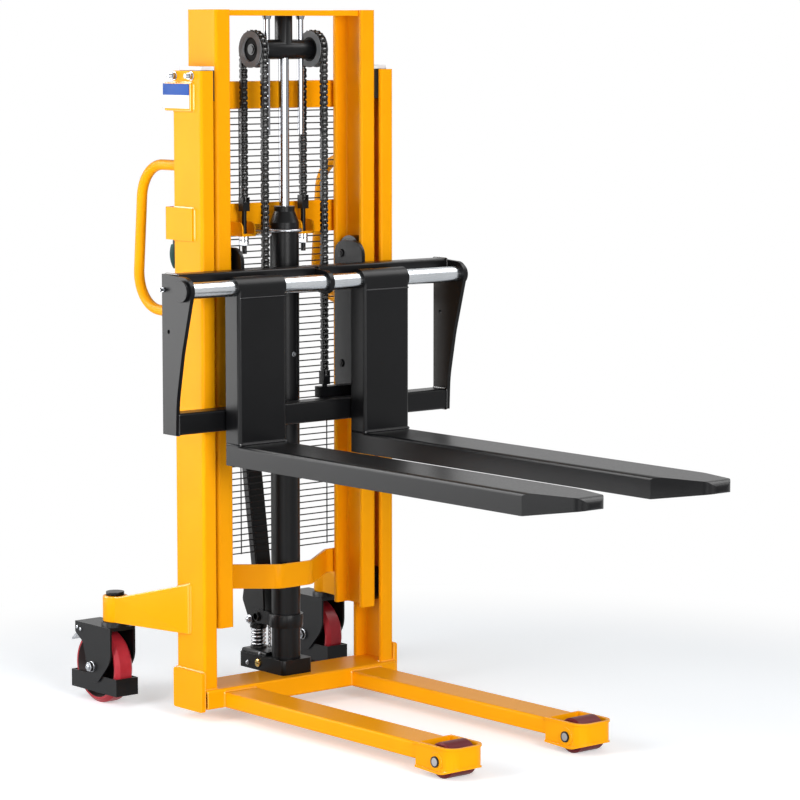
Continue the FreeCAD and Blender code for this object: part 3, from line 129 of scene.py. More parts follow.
# Wheels: patches and grain in waves in a metre, strength and depth of the relief
WHEEL_PATCH = 30.0
WHEEL_GRAIN = 400.0
WHEEL_RELIEF = (0.2, 0.0002)

# Colour sockets of the Mix node
MIX_FIRST, MIX_SECOND, MIX_RESULT = 6, 7, 2


def new_material(name):
    """Material with its node tree and its shader."""
    material = bpy.data.materials.new(name)
    material.use_nodes = True
    return material, material.node_tree, material.node_tree.nodes["Principled BSDF"]


def noise(tree, scale, detail=2.0, stretch=(1.0, 1.0, 1.0)):
    """Noise in the piece's own metres; scale is its number of waves in a metre."""
    place = tree.nodes.new("ShaderNodeTexCoord")
    mapping = tree.nodes.new("ShaderNodeMapping")
    mapping.inputs["Scale"].default_value = stretch
    texture = tree.nodes.new("ShaderNodeTexNoise")
    texture.inputs["Scale"].default_value = scale
    texture.inputs["Detail"].default_value = detail
    tree.links.new(place.outputs["Object"], mapping.inputs["Vector"])
    tree.links.new(mapping.outputs["Vector"], texture.inputs["Vector"])
    return texture.outputs["Fac"]


def mix_colours(tree, factor, first, second, low=NOISE_LOW, high=NOISE_HIGH):
    """Colour that goes from first to second as the factor goes from low to high."""
    ramp = tree.nodes.new("ShaderNodeValToRGB")
    ramp.color_ramp.elements[0].position = low
    ramp.color_ramp.elements[0].color = (*first, 1)
    ramp.color_ramp.elements[1].position = high
    ramp.color_ramp.elements[1].color = (*second, 1)
    tree.links.new(factor, ramp.inputs["Fac"])
    return ramp.outputs["Color"]


def spread(tree, factor, low, high):
    """Number that goes from low to high with the middle of a noise."""
    node = tree.nodes.new("ShaderNodeMapRange")
    node.inputs["From Min"].default_value = NOISE_LOW
    node.inputs["From Max"].default_value = NOISE_HIGH
    node.inputs["To Min"].default_value = low
    node.inputs["To Max"].default_value = high
    tree.links.new(factor, node.inputs["Value"])
    return node.outputs["Result"]


def bump(tree, shader, height, strength, distance):
    """Fine relief on a shader."""
    node = tree.nodes.new("ShaderNodeBump")
    node.inputs["Strength"].default_value = strength
    node.inputs["Distance"].default_value = distance
    tree.links.new(height, node.inputs["Height"])
    tree.links.new(node.outputs["Normal"], shader.inputs["Normal"])


def surface(name, dark, light, rough, metallic=0.0, grain=160.0, patch=7.0, relief=0.0,
            stretch=(1.0, 1.0, 1.0), specular=SPECULAR):
    """Material whose colour drifts in patches and whose gloss and relief follow a finer grain."""
    material, tree, shader = new_material(name)
    shader.inputs["Metallic"].default_value = metallic
    shader.inputs["Specular IOR Level"].default_value = specular
    patches = noise(tree, patch, PAINT_DETAIL)
    fine = noise(tree, grain, PAINT_DETAIL, stretch)
    tree.links.new(mix_colours(tree, patches, dark, light), shader.inputs["Base Color"])
    tree.links.new(spread(tree, fine, *rough), shader.inputs["Roughness"])
    if relief:
        bump(tree, shader, fine, RELIEF_STRENGTH, relief)
    return material


def banded(name, limit, below, above, rough):
    """Material in two plain bands, split at a height in the piece's own frame."""
    material, tree, shader = new_material(name)
    shader.inputs["Specular IOR Level"].default_value = PRINT_SPECULAR
    place = tree.nodes.new("ShaderNodeTexCoord")
    parts = tree.nodes.new("ShaderNodeSeparateXYZ")
    step = tree.nodes.new("ShaderNodeMath")
    step.operation = "GREATER_THAN"
    step.inputs[1].default_value = limit
    tree.links.new(place.outputs["Object"], parts.inputs["Vector"])
    tree.links.new(parts.outputs["Z"], step.inputs[0])
    colour = mix_colours(tree, step.outputs["Value"], below, above, *BAND_EDGE)
    tree.links.new(colour, shader.inputs["Base Color"])
    fine = noise(tree, PRINT_GRAIN)
    gloss = spread(tree, fine, rough - PRINT_DRIFT, rough + PRINT_DRIFT)
    tree.links.new(gloss, shader.inputs["Roughness"])
    return material


def ringed(name, centre, rings, rough, specular):
    """Wheel material in rings about an axle along X: (outer radius, dark colour, light colour)."""
    material, tree, shader = new_material(name)
    shader.inputs["Specular IOR Level"].default_value = specular
    place = tree.nodes.new("ShaderNodeTexCoord")
    offset = tree.nodes.new("ShaderNodeVectorMath")
    offset.operation = "SUBTRACT"
    offset.inputs[1].default_value = centre
    flat = tree.nodes.new("ShaderNodeVectorMath")
    flat.operation = "MULTIPLY"
    flat.inputs[1].default_value = (0, 1, 1)
    length = tree.nodes.new("ShaderNodeVectorMath")
    length.operation = "LENGTH"
    tree.links.new(place.outputs["Object"], offset.inputs[0])
    tree.links.new(offset.outputs["Vector"], flat.inputs[0])
    tree.links.new(flat.outputs["Vector"], length.inputs[0])
    patches = noise(tree, WHEEL_PATCH, PAINT_DETAIL)
    colour = mix_colours(tree, patches, *rings[-1][1:])
    for radius, dark, light in reversed(rings[:-1]):
        inside = tree.nodes.new("ShaderNodeMath")
        inside.operation = "LESS_THAN"
        inside.inputs[1].default_value = radius
        tree.links.new(length.outputs["Value"], inside.inputs[0])
        mix = tree.nodes.new("ShaderNodeMix")
        mix.data_type = "RGBA"
        tree.links.new(inside.outputs["Value"], mix.inputs["Factor"])
        tree.links.new(colour, mix.inputs[MIX_FIRST])
        tree.links.new(mix_colours(tree, patches, dark, light), mix.inputs[MIX_SECOND])
        colour = mix.outputs[MIX_RESULT]
    tree.links.new(colour, shader.inputs["Base Color"])
    fine = noise(tree, WHEEL_GRAIN)
    tree.links.new(spread(tree, fine, *rough), shader.inputs["Roughness"])
    bump(tree, shader, fine, *WHEEL_RELIEF)
    return material


ORANGE = surface("orange_enamel", (0.91, 0.355, 0.002), (0.95, 0.380, 0.003), (0.28, 0.38),
                 grain=420.0, relief=0.00004, specular=0.05)
BLACK = surface("black_enamel", (0.0030, 0.0031, 0.0036), (0.0046, 0.0047, 0.0054), (0.28, 0.38),
                grain=500.0, relief=0.00006, specular=0.16)
# Lighter, glossier copies of the two enamels for the bevelled edges and the frame's welds: their lighter
# colour is painted highlight.
ORANGE_EDGE_HIGHLIGHT = surface("orange_edge_painted_highlight", (0.91, 0.365, 0.006), (0.95, 0.390, 0.008), (0.20, 0.28),
                      grain=420.0, relief=0.00004, specular=0.6)
BLACK_EDGE_HIGHLIGHT = surface("black_edge_painted_highlight", (0.006, 0.006, 0.007), (0.009, 0.009, 0.010), (0.20, 0.28),
                     grain=500.0, relief=0.00006, specular=0.5)
# Weld beads of the forks and carriage: glossier than the black enamel, and lighter as painted highlight.
BEAD_HIGHLIGHT = surface("weld_painted_highlight", (0.006, 0.006, 0.007), (0.010, 0.010, 0.011), (0.16, 0.24),
               grain=500.0, relief=0.0001, specular=0.5)
CHROME = surface("hard_chrome", (0.24, 0.245, 0.26), (0.28, 0.285, 0.30), (0.07, 0.11),
                 metallic=1.0, grain=60.0, stretch=(1.0, 1.0, 0.05))
STEEL = surface("ground_steel", (0.44, 0.46, 0.48), (0.54, 0.56, 0.58), (0.20, 0.30),
                metallic=1.0, grain=700.0, stretch=(0.03, 1.0, 1.0), relief=0.00003)
ZINC = surface("zinc_plate", (0.28, 0.29, 0.31), (0.42, 0.43, 0.45), (0.20, 0.34),
               metallic=1.0, grain=500.0, patch=90.0)
CHAIN = surface("chain_steel", (0.004, 0.004, 0.004), (0.008, 0.008, 0.008), (0.16, 0.26),
                grain=900.0, patch=160.0)
CHAIN_ROLLER = surface("chain_roller", (0.07, 0.07, 0.07), (0.13, 0.13, 0.13), (0.18, 0.28),
                       metallic=1.0, grain=900.0, patch=200.0)
# Guide pads: dark below the tops of the outer posts as painted shade of the slit between the posts, pale
# nylon above.
SHADED_PAD = banded("guide_pad", PAD_SHADE_SPLIT, (0.020, 0.019, 0.017), (0.74, 0.76, 0.78), 0.45)
BRASS = surface("brass", (0.60, 0.40, 0.12), (0.70, 0.48, 0.16), (0.22, 0.34),
                metallic=1.0, grain=600.0, patch=120.0)
GRIP = surface("green_grip", (0.006, 0.045, 0.040), (0.010, 0.062, 0.055), (0.45, 0.60),
               grain=500.0, relief=0.0002, specular=0.1)
WIRE = surface("mesh_wire", (0.010, 0.010, 0.011), (0.018, 0.018, 0.019), (0.40, 0.55), grain=300.0)


# Mesh building

# An axis with more than this along X is squared with Z instead
ALONG_X = 0.9

# Sides of round pieces
HEX_SIDES = 6
WIRE_SIDES = 8
ROD_SIDES = 12
THREAD_SIDES = 16
RIVET_SIDES = 20
HEAD_SIDES = 24
CAP_SIDES = 48


def finish_piece(name, shape, material, body=None):
    """Turn a bmesh into an object with its material, or tuple of them, that moves with a body."""
    bmesh.ops.recalc_face_normals(shape, faces=shape.faces)
    mesh = bpy.data.meshes.new(name)
    shape.to_mesh(mesh)
    shape.free()
    for one in material if isinstance(material, tuple) else (material,):
        mesh.materials.append(one)
    mesh.polygons.foreach_set("use_smooth", [True] * len(mesh.polygons))
    mesh.set_sharp_from_angle(angle=SMOOTH_ANGLE)
    piece = bpy.data.objects.new(name, mesh)
    bpy.context.scene.collection.objects.link(piece)
    if body:
        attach(piece, body)
    return piece


def across(axis):
    """Two directions square to an axis."""
    side = axis.cross(X_AXIS if abs(axis.x) < ALONG_X else Z_AXIS).normalized()
    return side, axis.cross(side).normalized()


def circle(centre, first, second, radius, sides):
    """Points round a centre, in the plane of two directions."""
    points = []
    for index in range(sides):
        angle = 2 * math.pi * index / sides
        points.append(centre + first * (radius * math.cos(angle)) + second * (radius * math.sin(angle)))
    return points


def skin(shape, rings, slot=0):
    """Faces between rings of points with the same count, and caps on both ends."""
    rows = [[shape.verts.new(point) for point in ring] for ring in rings]
    sides = len(rows[0])
    faces = [shape.faces.new(rows[0]), shape.faces.new(rows[-1])]
    for low, high in zip(rows, rows[1:]):
        for index in range(sides):
            following = (index + 1) % sides
            corners = (low[index], low[following], high[following], high[index])
            faces.append(shape.faces.new(corners))
    for face in faces:
        face.material_index = slot


def scaled(profile, size):
    """Profile of a round piece from one given in shares of a size."""
    return [(along * size, radius * size) for along, radius in profile]


def add_lathe(shape, start, axis, profile, sides, slot=0):
    """Round piece from (distance along the axis, radius) pairs."""
    axis = axis.normalized()
    first, second = across(axis)
    rings = [circle(start + axis * along, first, second, radius, sides) for along, radius in profile]
    skin(shape, rings, slot)


HEX_CHAMFER = 0.12


def add_hex(shape, start, axis, radius, height):
    """Hexagon head or nut with a chamfered top."""
    chamfer = radius * HEX_CHAMFER
    profile = [(0, radius), (height - chamfer, radius), (height, radius - chamfer)]
    add_lathe(shape, start, axis, profile, HEX_SIDES)


# Shares of the head's radius: the washer's radius, the top of its rim and of its slope, the head's
# foot and height, and the bolt's end
WASHER = 1.35
WASHER_RIM, WASHER_SLOPE = 0.2, 0.25
HEAD_FOOT, HEAD_HEIGHT = 0.22, 0.7
END_FOOT = 0.9
END_PROFILE = ((0, 0.55), (0.22, 0.55), (0.34, 0.4))


def add_bolt(shape, start, axis, radius, washer=WASHER):
    """Washer, hexagon head and the bolt's domed end."""
    profile = ((0, washer), (WASHER_RIM, washer), (WASHER_SLOPE, 1))
    add_lathe(shape, start, axis, scaled(profile, radius), HEAD_SIDES)
    add_hex(shape, start + axis * (radius * HEAD_FOOT), axis, radius, radius * HEAD_HEIGHT)
    add_lathe(shape, start + axis * (radius * END_FOOT), axis, scaled(END_PROFILE, radius), THREAD_SIDES)


def add_tube(shape, points, sizes, sides):
    """Tube through points with a radius at each; its section keeps one direction square to the path."""
    rings = []
    reference = None
    for index, point in enumerate(points):
        before = points[max(index - 1, 0)]
        after = points[min(index + 1, len(points) - 1)]
        axis = (after - before).normalized()
        if reference is None:
            reference = across(axis)[0]
        reference = (reference - axis * reference.dot(axis)).normalized()
        rings.append(circle(point, reference, axis.cross(reference), sizes[index], sides))
    skin(shape, rings)


def add_wire(shape, points, radius, sides):
    """Tube with the same radius all along."""
    add_tube(shape, points, [radius] * len(points), sides)


def add_box(shape, low, high, bevel):
    """Box with rounded edges."""
    low, high = Vector(low), Vector(high)
    size = high - low
    matrix = Matrix.Translation((low + high) / 2) @ Matrix.Diagonal((size.x, size.y, size.z, 1))
    made = bmesh.ops.create_cube(shape, size=1.0, matrix=matrix)
    edges = {edge for vert in made["verts"] for edge in vert.link_edges}
    bmesh.ops.bevel(shape, geom=list(edges), offset=bevel, segments=3, affect="EDGES", profile=0.5)


# Ripples of a weld: their spacing in radii, least number, mean size and swing, and the size at the ends
RIPPLE_STEP = 0.8
LEAST_RIPPLES = 4
RIPPLE_MEAN, RIPPLE_SWING = 0.88, 0.12
WELD_END = 0.55


def add_weld(shape, start, end, radius):
    """Bead between two points, with the ripples that a welder leaves."""
    count = max(int((end - start).length / (radius * RIPPLE_STEP)), LEAST_RIPPLES)
    points, sizes = [], []
    for index in range(count + 1):
        points.append(start.lerp(end, index / count))
        ripple = RIPPLE_MEAN + RIPPLE_SWING * math.cos(index * math.pi)
        sizes.append(radius * ripple * (WELD_END if index in (0, count) else 1.0))
    add_tube(shape, points, sizes, WIRE_SIDES)


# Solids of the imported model

NODE_MATERIALS = {
    ORANGE: ["base_crossbeam", "legs", "wheel_housings", "foot_plates", "outer_post_left",
             "outer_post_right", "upper_tie_plate", "mid_tie_plate", "cylinder_strap", "caster_arms",
             "push_handles", "inner_posts", "top_beam"],
    BLACK: ["lift_cylinder", "gland_nut", "pump_block", "crosshead", "carriage_plates", "upper_bar",
            "lower_bar", "side_plates", "centre_lug", "chain_clevises", "fork_left", "fork_right",
            "caster_fork_left", "caster_fork_right", "release_lever", "tiller_bar", "pump_plunger",
            "chain_anchor_bolts", "caster_caps"],
    CHROME: ["guide_rods", "piston_rod"],
    STEEL: ["fork_shaft"],
    ZINC: ["cylinder_clamp", "mast_roller_axles", "brake_lever_left", "brake_lever_right"],
    SHADED_PAD: ["guide_pads"],
    GRIP: ["tiller_grips"],
    CHAIN: ["sheave_pins", "front_chains", "rear_chains", "chain_wraps", "return_spring",
            "mast_roller_left", "mast_roller_right", "carriage_roller_upper_left",
            "carriage_roller_upper_right", "carriage_roller_lower_left",
            "carriage_roller_lower_right"],
    WIRE: ["mesh_guard"],
}

# Colours of the wheels, dark and light
TREAD = ((0.32, 0.016, 0.026), (0.40, 0.024, 0.036))
ROLLER_TREAD = ((0.11, 0.010, 0.014), (0.15, 0.015, 0.019))
WHEEL_CORE = ((0.012, 0.006, 0.006), (0.020, 0.010, 0.010))
HUB = ((0.30, 0.30, 0.31), (0.40, 0.40, 0.41))
WORN = ((0.16, 0.165, 0.17), (0.22, 0.225, 0.23))
RECESS = ((0.006, 0.006, 0.006), (0.010, 0.010, 0.010))

# Wheels on both sides: start of the node's name, rings, roughness and specular level
REST = 1.0
WHEELS = (
    ("chain_sheave_", ((0.0288, *RECESS), (REST, *WORN)), (0.40, 0.52), 0.02),
    ("caster_wheel_", ((0.022, *HUB), (0.076, *WHEEL_CORE), (REST, *TREAD)), (0.30, 0.42), SPECULAR),
    ("load_roller_", ((0.016, *HUB), (REST, *ROLLER_TREAD)), (0.34, 0.46), 0.1),
)
AXLE_RINGS = ((0.0092, *HUB), (REST, *RECESS))
AXLE_ROUGH = (0.30, 0.42)


def paint(node, material):
    """Give a solid one material."""
    piece = nodes[node]
    piece.data.materials.clear()
    piece.data.materials.append(material)


def paint_rings(node, rings, rough, specular):
    """Give a solid rings of colour round its middle."""
    low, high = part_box(node)
    paint(node, ringed(node, (low + high) / 2, rings, rough, specular))


def paint_nodes():
    """Give every solid its material."""
    for material, names in NODE_MATERIALS.items():
        for name in names:
            paint(name, material)
    for side in SIDE_NAMES:
        for start, rings, rough, specular in WHEELS:
            paint_rings(start + side, rings, rough, specular)
    paint_rings("load_roller_axles", AXLE_RINGS, AXLE_ROUGH, SPECULAR)


WIDE_EDGED = ("base_crossbeam", "legs", "foot_plates", "upper_tie_plate", "mid_tie_plate",
              "caster_arms", "caster_caps")
FINE_EDGED = ("outer_post_left", "outer_post_right", "inner_posts", "top_beam", "cylinder_strap",
              "upper_bar", "lower_bar", "carriage_plates", "pump_block", "wheel_housings",
              "caster_fork_left", "caster_fork_right", "tiller_bar", "crosshead", "chain_clevises")
WIDE_EDGE = 0.0026
FINE_EDGE = 0.0012
EDGE_ANGLE = math.radians(40)
SAME_POINT = 0.00002


def soften_edges():
    """Break the sharp edges of the plates and tubes, and give the bevels a lighter, glossier copy of
    their enamel, the lighter colour being painted highlight.
    """
    for name in WIDE_EDGED + FINE_EDGED:
        piece = nodes[name]
        weld = piece.modifiers.new("weld", "WELD")
        weld.merge_threshold = SAME_POINT
        bevel = piece.modifiers.new("edges", "BEVEL")
        bevel.width = WIDE_EDGE if name in WIDE_EDGED else FINE_EDGE
        bevel.segments = 2
        bevel.limit_method = "ANGLE"
        bevel.angle_limit = EDGE_ANGLE
        bevel.harden_normals = True
        # Bevels take the lighter copy of the enamel: painted highlight along the edges.
        edge = ORANGE_EDGE_HIGHLIGHT if piece.data.materials[0] == ORANGE else BLACK_EDGE_HIGHLIGHT
        piece.data.materials.append(edge)
        bevel.material = 1


# Chains, built link by link

CHAIN_PITCH = 0.0127

# Half height of a plate at its pins and at its waist, for the outer plates and for those between them
PLATE_SIZE = (0.0058, 0.0032)
CORE_SIZE = (0.0040, 0.0030)

# Half thickness and chamfer of a plate, the plates' places in steps from the chain's middle, and the
# first of them that counts as outer
PLATE_THICK = 0.00125
PLATE_EDGE = 0.0007
PLATE_STEP = 0.00135
OUTER_PLACES = (-6, -2, 2, 6)
INNER_PLACES = (-4, 0, 4)
SHELL_PLACE = 4

# Half length and radius of a pin and of a roller, and their chamfer as a share of the radius
PIN = (0.0090, 0.0024)
ROLLER = (0.0041, 0.0045)
PIN_CHAMFER = 0.25

# Degrees from a plate's axis at which the points of its round ends lie
PLATE_TURNS = (-75, -50, -25, 0, 25, 50, 75)

# Links in the half turn over a sheave, and in the part of the front chains that the carriage holds
WRAP_LINKS = 10
LOW_LINKS = 8


def link_outline(half, waist):
    """Figure-of-eight outline of a chain plate, as (along, across) from the middle of the link."""
    outline = []
    for sign in (1, -1):
        for turn in PLATE_TURNS:
            angle = math.radians(turn)
            along = sign * (CHAIN_PITCH / 2 + half * math.cos(angle))
            outline.append((along, sign * half * math.sin(angle)))
        outline.append((0.0, sign * waist))
    return outline


def add_link(shape, x, start, end, wide):
    """Row of plates between two pins; a wide row also brings the two pins and their rollers."""
    along = (end - start).normalized()
    side = X_AXIS.cross(along)
    middle = (start + end) / 2
    inner = PLATE_THICK - PLATE_EDGE
    layers = ((-PLATE_THICK, PLATE_EDGE), (-inner, 0), (inner, 0), (PLATE_THICK, PLATE_EDGE))
    for place in OUTER_PLACES if wide else INNER_PLACES:
        half, waist = PLATE_SIZE if abs(place) >= SHELL_PLACE else CORE_SIZE
        rings = []
        for offset, inset in layers:
            base = middle + X_AXIS * (x + place * PLATE_STEP + offset)
            outline = link_outline(half - inset, waist - inset)
            rings.append([base + along * a + side * b for a, b in outline])
        skin(shape, rings)
    if not wide:
        return
    for half, radius in (PIN, ROLLER):
        edge = radius * PIN_CHAMFER
        profile = [(0, radius - edge), (edge, radius),
                   (2 * half - edge, radius), (2 * half, radius - edge)]
        for pin in (start, end):
            add_lathe(shape, pin + X_AXIS * (x - half), X_AXIS, profile, ROD_SIDES, slot=1)


def chain_piece(name, pins, first_wide):
    """Both chains along one row of pins, with wide and narrow links by turns."""
    shape = bmesh.new()
    low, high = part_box("chain_sheave_right")
    chain_x = (low.x + high.x) / 2
    for index in range(len(pins) - 1):
        for x in (-chain_x, chain_x):
            add_link(shape, x, pins[index], pins[index + 1], (index % 2 == 0) == first_wide)
    return finish_piece(name, shape, (CHAIN, CHAIN_ROLLER))


def even_blend(piece):
    """Bake the placement of a piece of strand into its mesh.
    """
    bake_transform(piece)


def strand(name, pins, pieces):
    """Run of chain in pieces, from its lowest pin up."""
    count = len(pins) - 1
    made = []
    for index in range(pieces):
        low, high = count * index // pieces, count * (index + 1) // pieces
        piece = chain_piece(name + "_" + str(index + 1), pins[low:high + 1], low % 2 == 1)
        even_blend(piece)
        made.append(piece)
    return made


def chains():
    """Links over the sheaves, and the strands in front of them and behind."""
    low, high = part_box("chain_sheave_right")
    centre = Vector((0, (low.y + high.y) / 2, (low.z + high.z) / 2))
    radius = CHAIN_PITCH / 2 / math.sin(math.pi / WRAP_LINKS / 2)
    wrap_pins = []
    for step in range(WRAP_LINKS + 1):
        turn = math.pi * step / WRAP_LINKS
        wrap_pins.append(centre + Vector((0, -radius * math.cos(turn), radius * math.sin(turn))))
    wrap = chain_piece("sheave_chain", wrap_pins, True)
    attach(wrap, "crosshead")
    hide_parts("chain_wraps")
    runs = {}
    for node, side in (("front_chains", -1), ("rear_chains", 1)):
        count = int((centre.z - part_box(node)[0].z) / CHAIN_PITCH)
        top = centre + Vector((0, side * radius, 0))
        runs[node] = [top - Z_AXIS * (CHAIN_PITCH * step) for step in range(count, -1, -1)]
    front = runs["front_chains"]
    strand("front_chain_low", front[:LOW_LINKS + 1], pieces=2)
    upper = strand("front_chain", front[LOW_LINKS:], pieces=6)
    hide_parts("front_chains")
    rear = runs["rear_chains"]
    # About half of the links, and an even number, so that wide and narrow links go on by turns
    split = len(rear) // 4 * 2
    strand("rear_chain_low", rear[:split + 1], pieces=3)
    rear_upper = strand("rear_chain", rear[split:], pieces=3)
    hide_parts("rear_chains")


# Spring and mesh

# Radius of the wire and of the coil, turns in all and in each closed end, and points in a turn
SPRING_WIRE = 0.0026
SPRING_COIL = 0.0162
SPRING_TURNS = 5.0
SPRING_CLOSED = 0.7
SPRING_STEPS = 28


def return_spring():
    """Coil spring with closed ends round the pump's plunger."""
    low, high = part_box("return_spring")
    wire, turns, closed = SPRING_WIRE, SPRING_TURNS, SPRING_CLOSED
    centre = (low + high) / 2
    rise = high.z - low.z - 2 * wire
    points = []
    for step in range(int(turns * SPRING_STEPS) + 1):
        turn = step / SPRING_STEPS
        share = min(max((turn - closed) / (turns - 2 * closed), 0), 1)
        lift = wire * min(turn / closed, 1) + wire * max((turn - turns + closed) / closed, 0)
        height = low.z + wire + lift + (rise - 2 * wire) * share
        angle = 2 * math.pi * turn
        x = centre.x + SPRING_COIL * math.cos(angle)
        y = centre.y + SPRING_COIL * math.sin(angle)
        points.append(Vector((x, y, height)))
    shape = bmesh.new()
    add_wire(shape, points, wire, ROD_SIDES)
    piece = finish_piece("coil_spring", shape, ZINC, "chassis")
    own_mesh(piece)
    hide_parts("return_spring")


# Uprights in millimetres across the mast, spacing and radius of the wires, bare ends at the top,
# and the swelling of a weld in shares of the radius
MESH_UPRIGHTS = (-204.0, -72.0, 60.0, 193.0)
MESH_PITCH = 0.0152
MESH_WIRE = 0.0015
MESH_BARE = 0.026
MESH_KNOT = ((0, 1.1), (1, 1.35), (2, 1.1))


def mesh_guard():
    """Welded wire mesh: level wires over a few uprights, with the swelling of each weld."""
    low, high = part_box("mesh_guard")
    shape = bmesh.new()
    level_y = high.y - MESH_WIRE
    upright_y = low.y + MESH_WIRE
    levels = []
    for index in range(round((high.z - low.z) / MESH_PITCH)):
        if low.z + MESH_PITCH * index < high.z - MESH_BARE:
            levels.append(low.z + MESH_WIRE + MESH_PITCH * index)
    for z in levels:
        points = [Vector((x, level_y, z)) for x in (low.x, 0, high.x)]
        add_wire(shape, points, MESH_WIRE, WIRE_SIDES)
    for place in MESH_UPRIGHTS:
        x = place * MM
        points = [Vector((x, upright_y, z)) for z in (low.z, (low.z + high.z) / 2, high.z)]
        add_wire(shape, points, MESH_WIRE, WIRE_SIDES)
        for z in levels:
            add_lathe(shape, Vector((x, upright_y, z)), Y_AXIS, scaled(MESH_KNOT, MESH_WIRE), WIRE_SIDES)
    piece = finish_piece("wire_mesh", shape, WIRE, "chassis")
    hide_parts("mesh_guard")


# Small fittings. Their places are in millimetres as for at(), on the right where both sides have one.

POST_OUTER = 288.5
POST_INNER = 250.5

# Thread: its pitch, and the root and the tip as shares of the radius
THREAD_PITCH = 0.0016
THREAD_ROOT = 0.87
THREAD_TIP = 0.75


def add_thread(shape, start, axis, length, radius):
    """Threaded end with a chamfered tip."""
    profile = [(0, radius)]
    for index in range(int(length / THREAD_PITCH)):
        profile.append((THREAD_PITCH * (index + 0.5), radius * THREAD_ROOT))
        profile.append((THREAD_PITCH * (index + 1.0), radius))
    profile.append((length, radius * THREAD_TIP))
    add_lathe(shape, start, axis, profile, THREAD_SIDES)


# Screw head and the half length, half width and levels of its slot, in shares of the radius
SCREW_HEAD = ((0, 1), (0.35, 1), (0.5, 0.8))
SLOT_LENGTH, SLOT_WIDTH = 0.7, 0.11
SLOT_LEVELS = (0.42, 0.56)


def add_screw(shape, start, axis, radius):
    """Round screw head with a slot, which takes the second material."""
    add_lathe(shape, start, axis, scaled(SCREW_HEAD, radius), HEAD_SIDES)
    side, up = across(axis)
    slot = []
    for a, b in ((-1, -1), (1, -1), (1, 1), (-1, 1)):
        slot.append(side * (radius * SLOT_LENGTH * a) + up * (radius * SLOT_WIDTH * b))
    rings = [[start + axis * (radius * level) + point for point in slot] for level in SLOT_LEVELS]
    skin(shape, rings, 1)


# Washer, nut and thread of a set screw, and where the last two start
ADJUSTER_WASHER = ((0, 0.0105), (0.0018, 0.0105), (0.0022, 0.0095))
ADJUSTER_NUT = (0.0095, 0.008)
ADJUSTER_NUT_FOOT = 0.002
ADJUSTER_THREAD = (0.010, 0.0052)
ADJUSTER_THREAD_FOOT = 0.0095


def add_adjuster(shape, start, axis):
    """Set screw of a guide pad, held by a washer and a lock nut."""
    add_lathe(shape, start, axis, ADJUSTER_WASHER, HEAD_SIDES)
    add_hex(shape, start + axis * ADJUSTER_NUT_FOOT, axis, *ADJUSTER_NUT)
    add_thread(shape, start + axis * ADJUSTER_THREAD_FOOT, axis, *ADJUSTER_THREAD)


# Oval links: wire and half length in shares of the spacing, half width, and points in a link
OVAL_WIRE = 0.2
OVAL_LENGTH = 0.68
OVAL_WIDTH = 0.0034
OVAL_STEPS = 16


def add_small_chain(shape, start, end, count):
    """Short chain of oval links, each turned square to the one before."""
    step = (end - start) / count
    along = step.normalized()
    sides = across(along)
    reach = step.length * OVAL_LENGTH
    for index in range(count):
        middle = start + step * (index + 0.5)
        side = sides[index % 2]
        points = []
        for place in range(OVAL_STEPS + 1):
            angle = 2 * math.pi * place / OVAL_STEPS
            point = middle + along * (reach * math.cos(angle))
            points.append(point + side * (OVAL_WIDTH * math.sin(angle)))
        add_wire(shape, points, step.length * OVAL_WIRE, WIRE_SIDES)


# Mast and pump: places of the fittings, and sizes in metres, which are the radius of a head,
# radius and height of a nut, length and radius of a thread
PAD_SCREWS = ((POST_OUTER, 36, 1515), (POST_OUTER, 102, 1515))
STRAP_BOLT = (246, 132, 320)
STRAP_HEAD = 0.009
CLAMP_NUT = (39.3, 140, 1147)
CLAMP_NUT_SIZE = (0.008, 0.007)
CLAMP_END = (39.3, 146, 1147)
CLAMP_THREAD = (0.012, 0.004)
CYLINDER_BOLT = (0, 25, 852)
CYLINDER_HEAD = 0.0045
PUMP_BOLTS = (((-36, 117, 117), 0.0035), ((-45, 155, 91), 0.0042))
SMALL_CHAIN = ((5, 132, 188), (5, 132, 127))
SMALL_CHAIN_LINKS = 8
PIVOT_NUT = (27, 139, 205)
PIVOT_NUT_SIZE = (0.0125, 0.006)
VALVE_SCREW = (-45, 112, 96)
VALVE_HEAD = 0.0095


def chassis_fittings():
    """Bolts, nuts and screws of the mast and the pump."""
    bright = bmesh.new()
    for side in SIDES:
        for place in PAD_SCREWS:
            add_adjuster(bright, beside(place, side), X_AXIS * side)
        add_bolt(bright, beside(STRAP_BOLT, side), Y_AXIS, STRAP_HEAD)
        add_hex(bright, beside(CLAMP_NUT, side), Y_AXIS, *CLAMP_NUT_SIZE)
        add_thread(bright, beside(CLAMP_END, side), Y_AXIS, *CLAMP_THREAD)
    add_bolt(bright, at(*CYLINDER_BOLT), -Y_AXIS, CYLINDER_HEAD)
    for place, radius in PUMP_BOLTS:
        add_bolt(bright, at(*place), -X_AXIS, radius)
    add_small_chain(bright, at(*SMALL_CHAIN[0]), at(*SMALL_CHAIN[1]), SMALL_CHAIN_LINKS)
    finish_piece("chassis_bolts", bright, ZINC, "chassis")
    pivot = bmesh.new()
    for side in SIDES:
        add_hex(pivot, beside(PIVOT_NUT, side), X_AXIS * side, *PIVOT_NUT_SIZE)
    finish_piece("pivot_nuts", pivot, BLACK, "chassis")
    screw = bmesh.new()
    add_screw(screw, at(*VALVE_SCREW), -X_AXIS, VALVE_HEAD)
    finish_piece("valve_screw", screw, (BRASS, BLACK), "chassis")


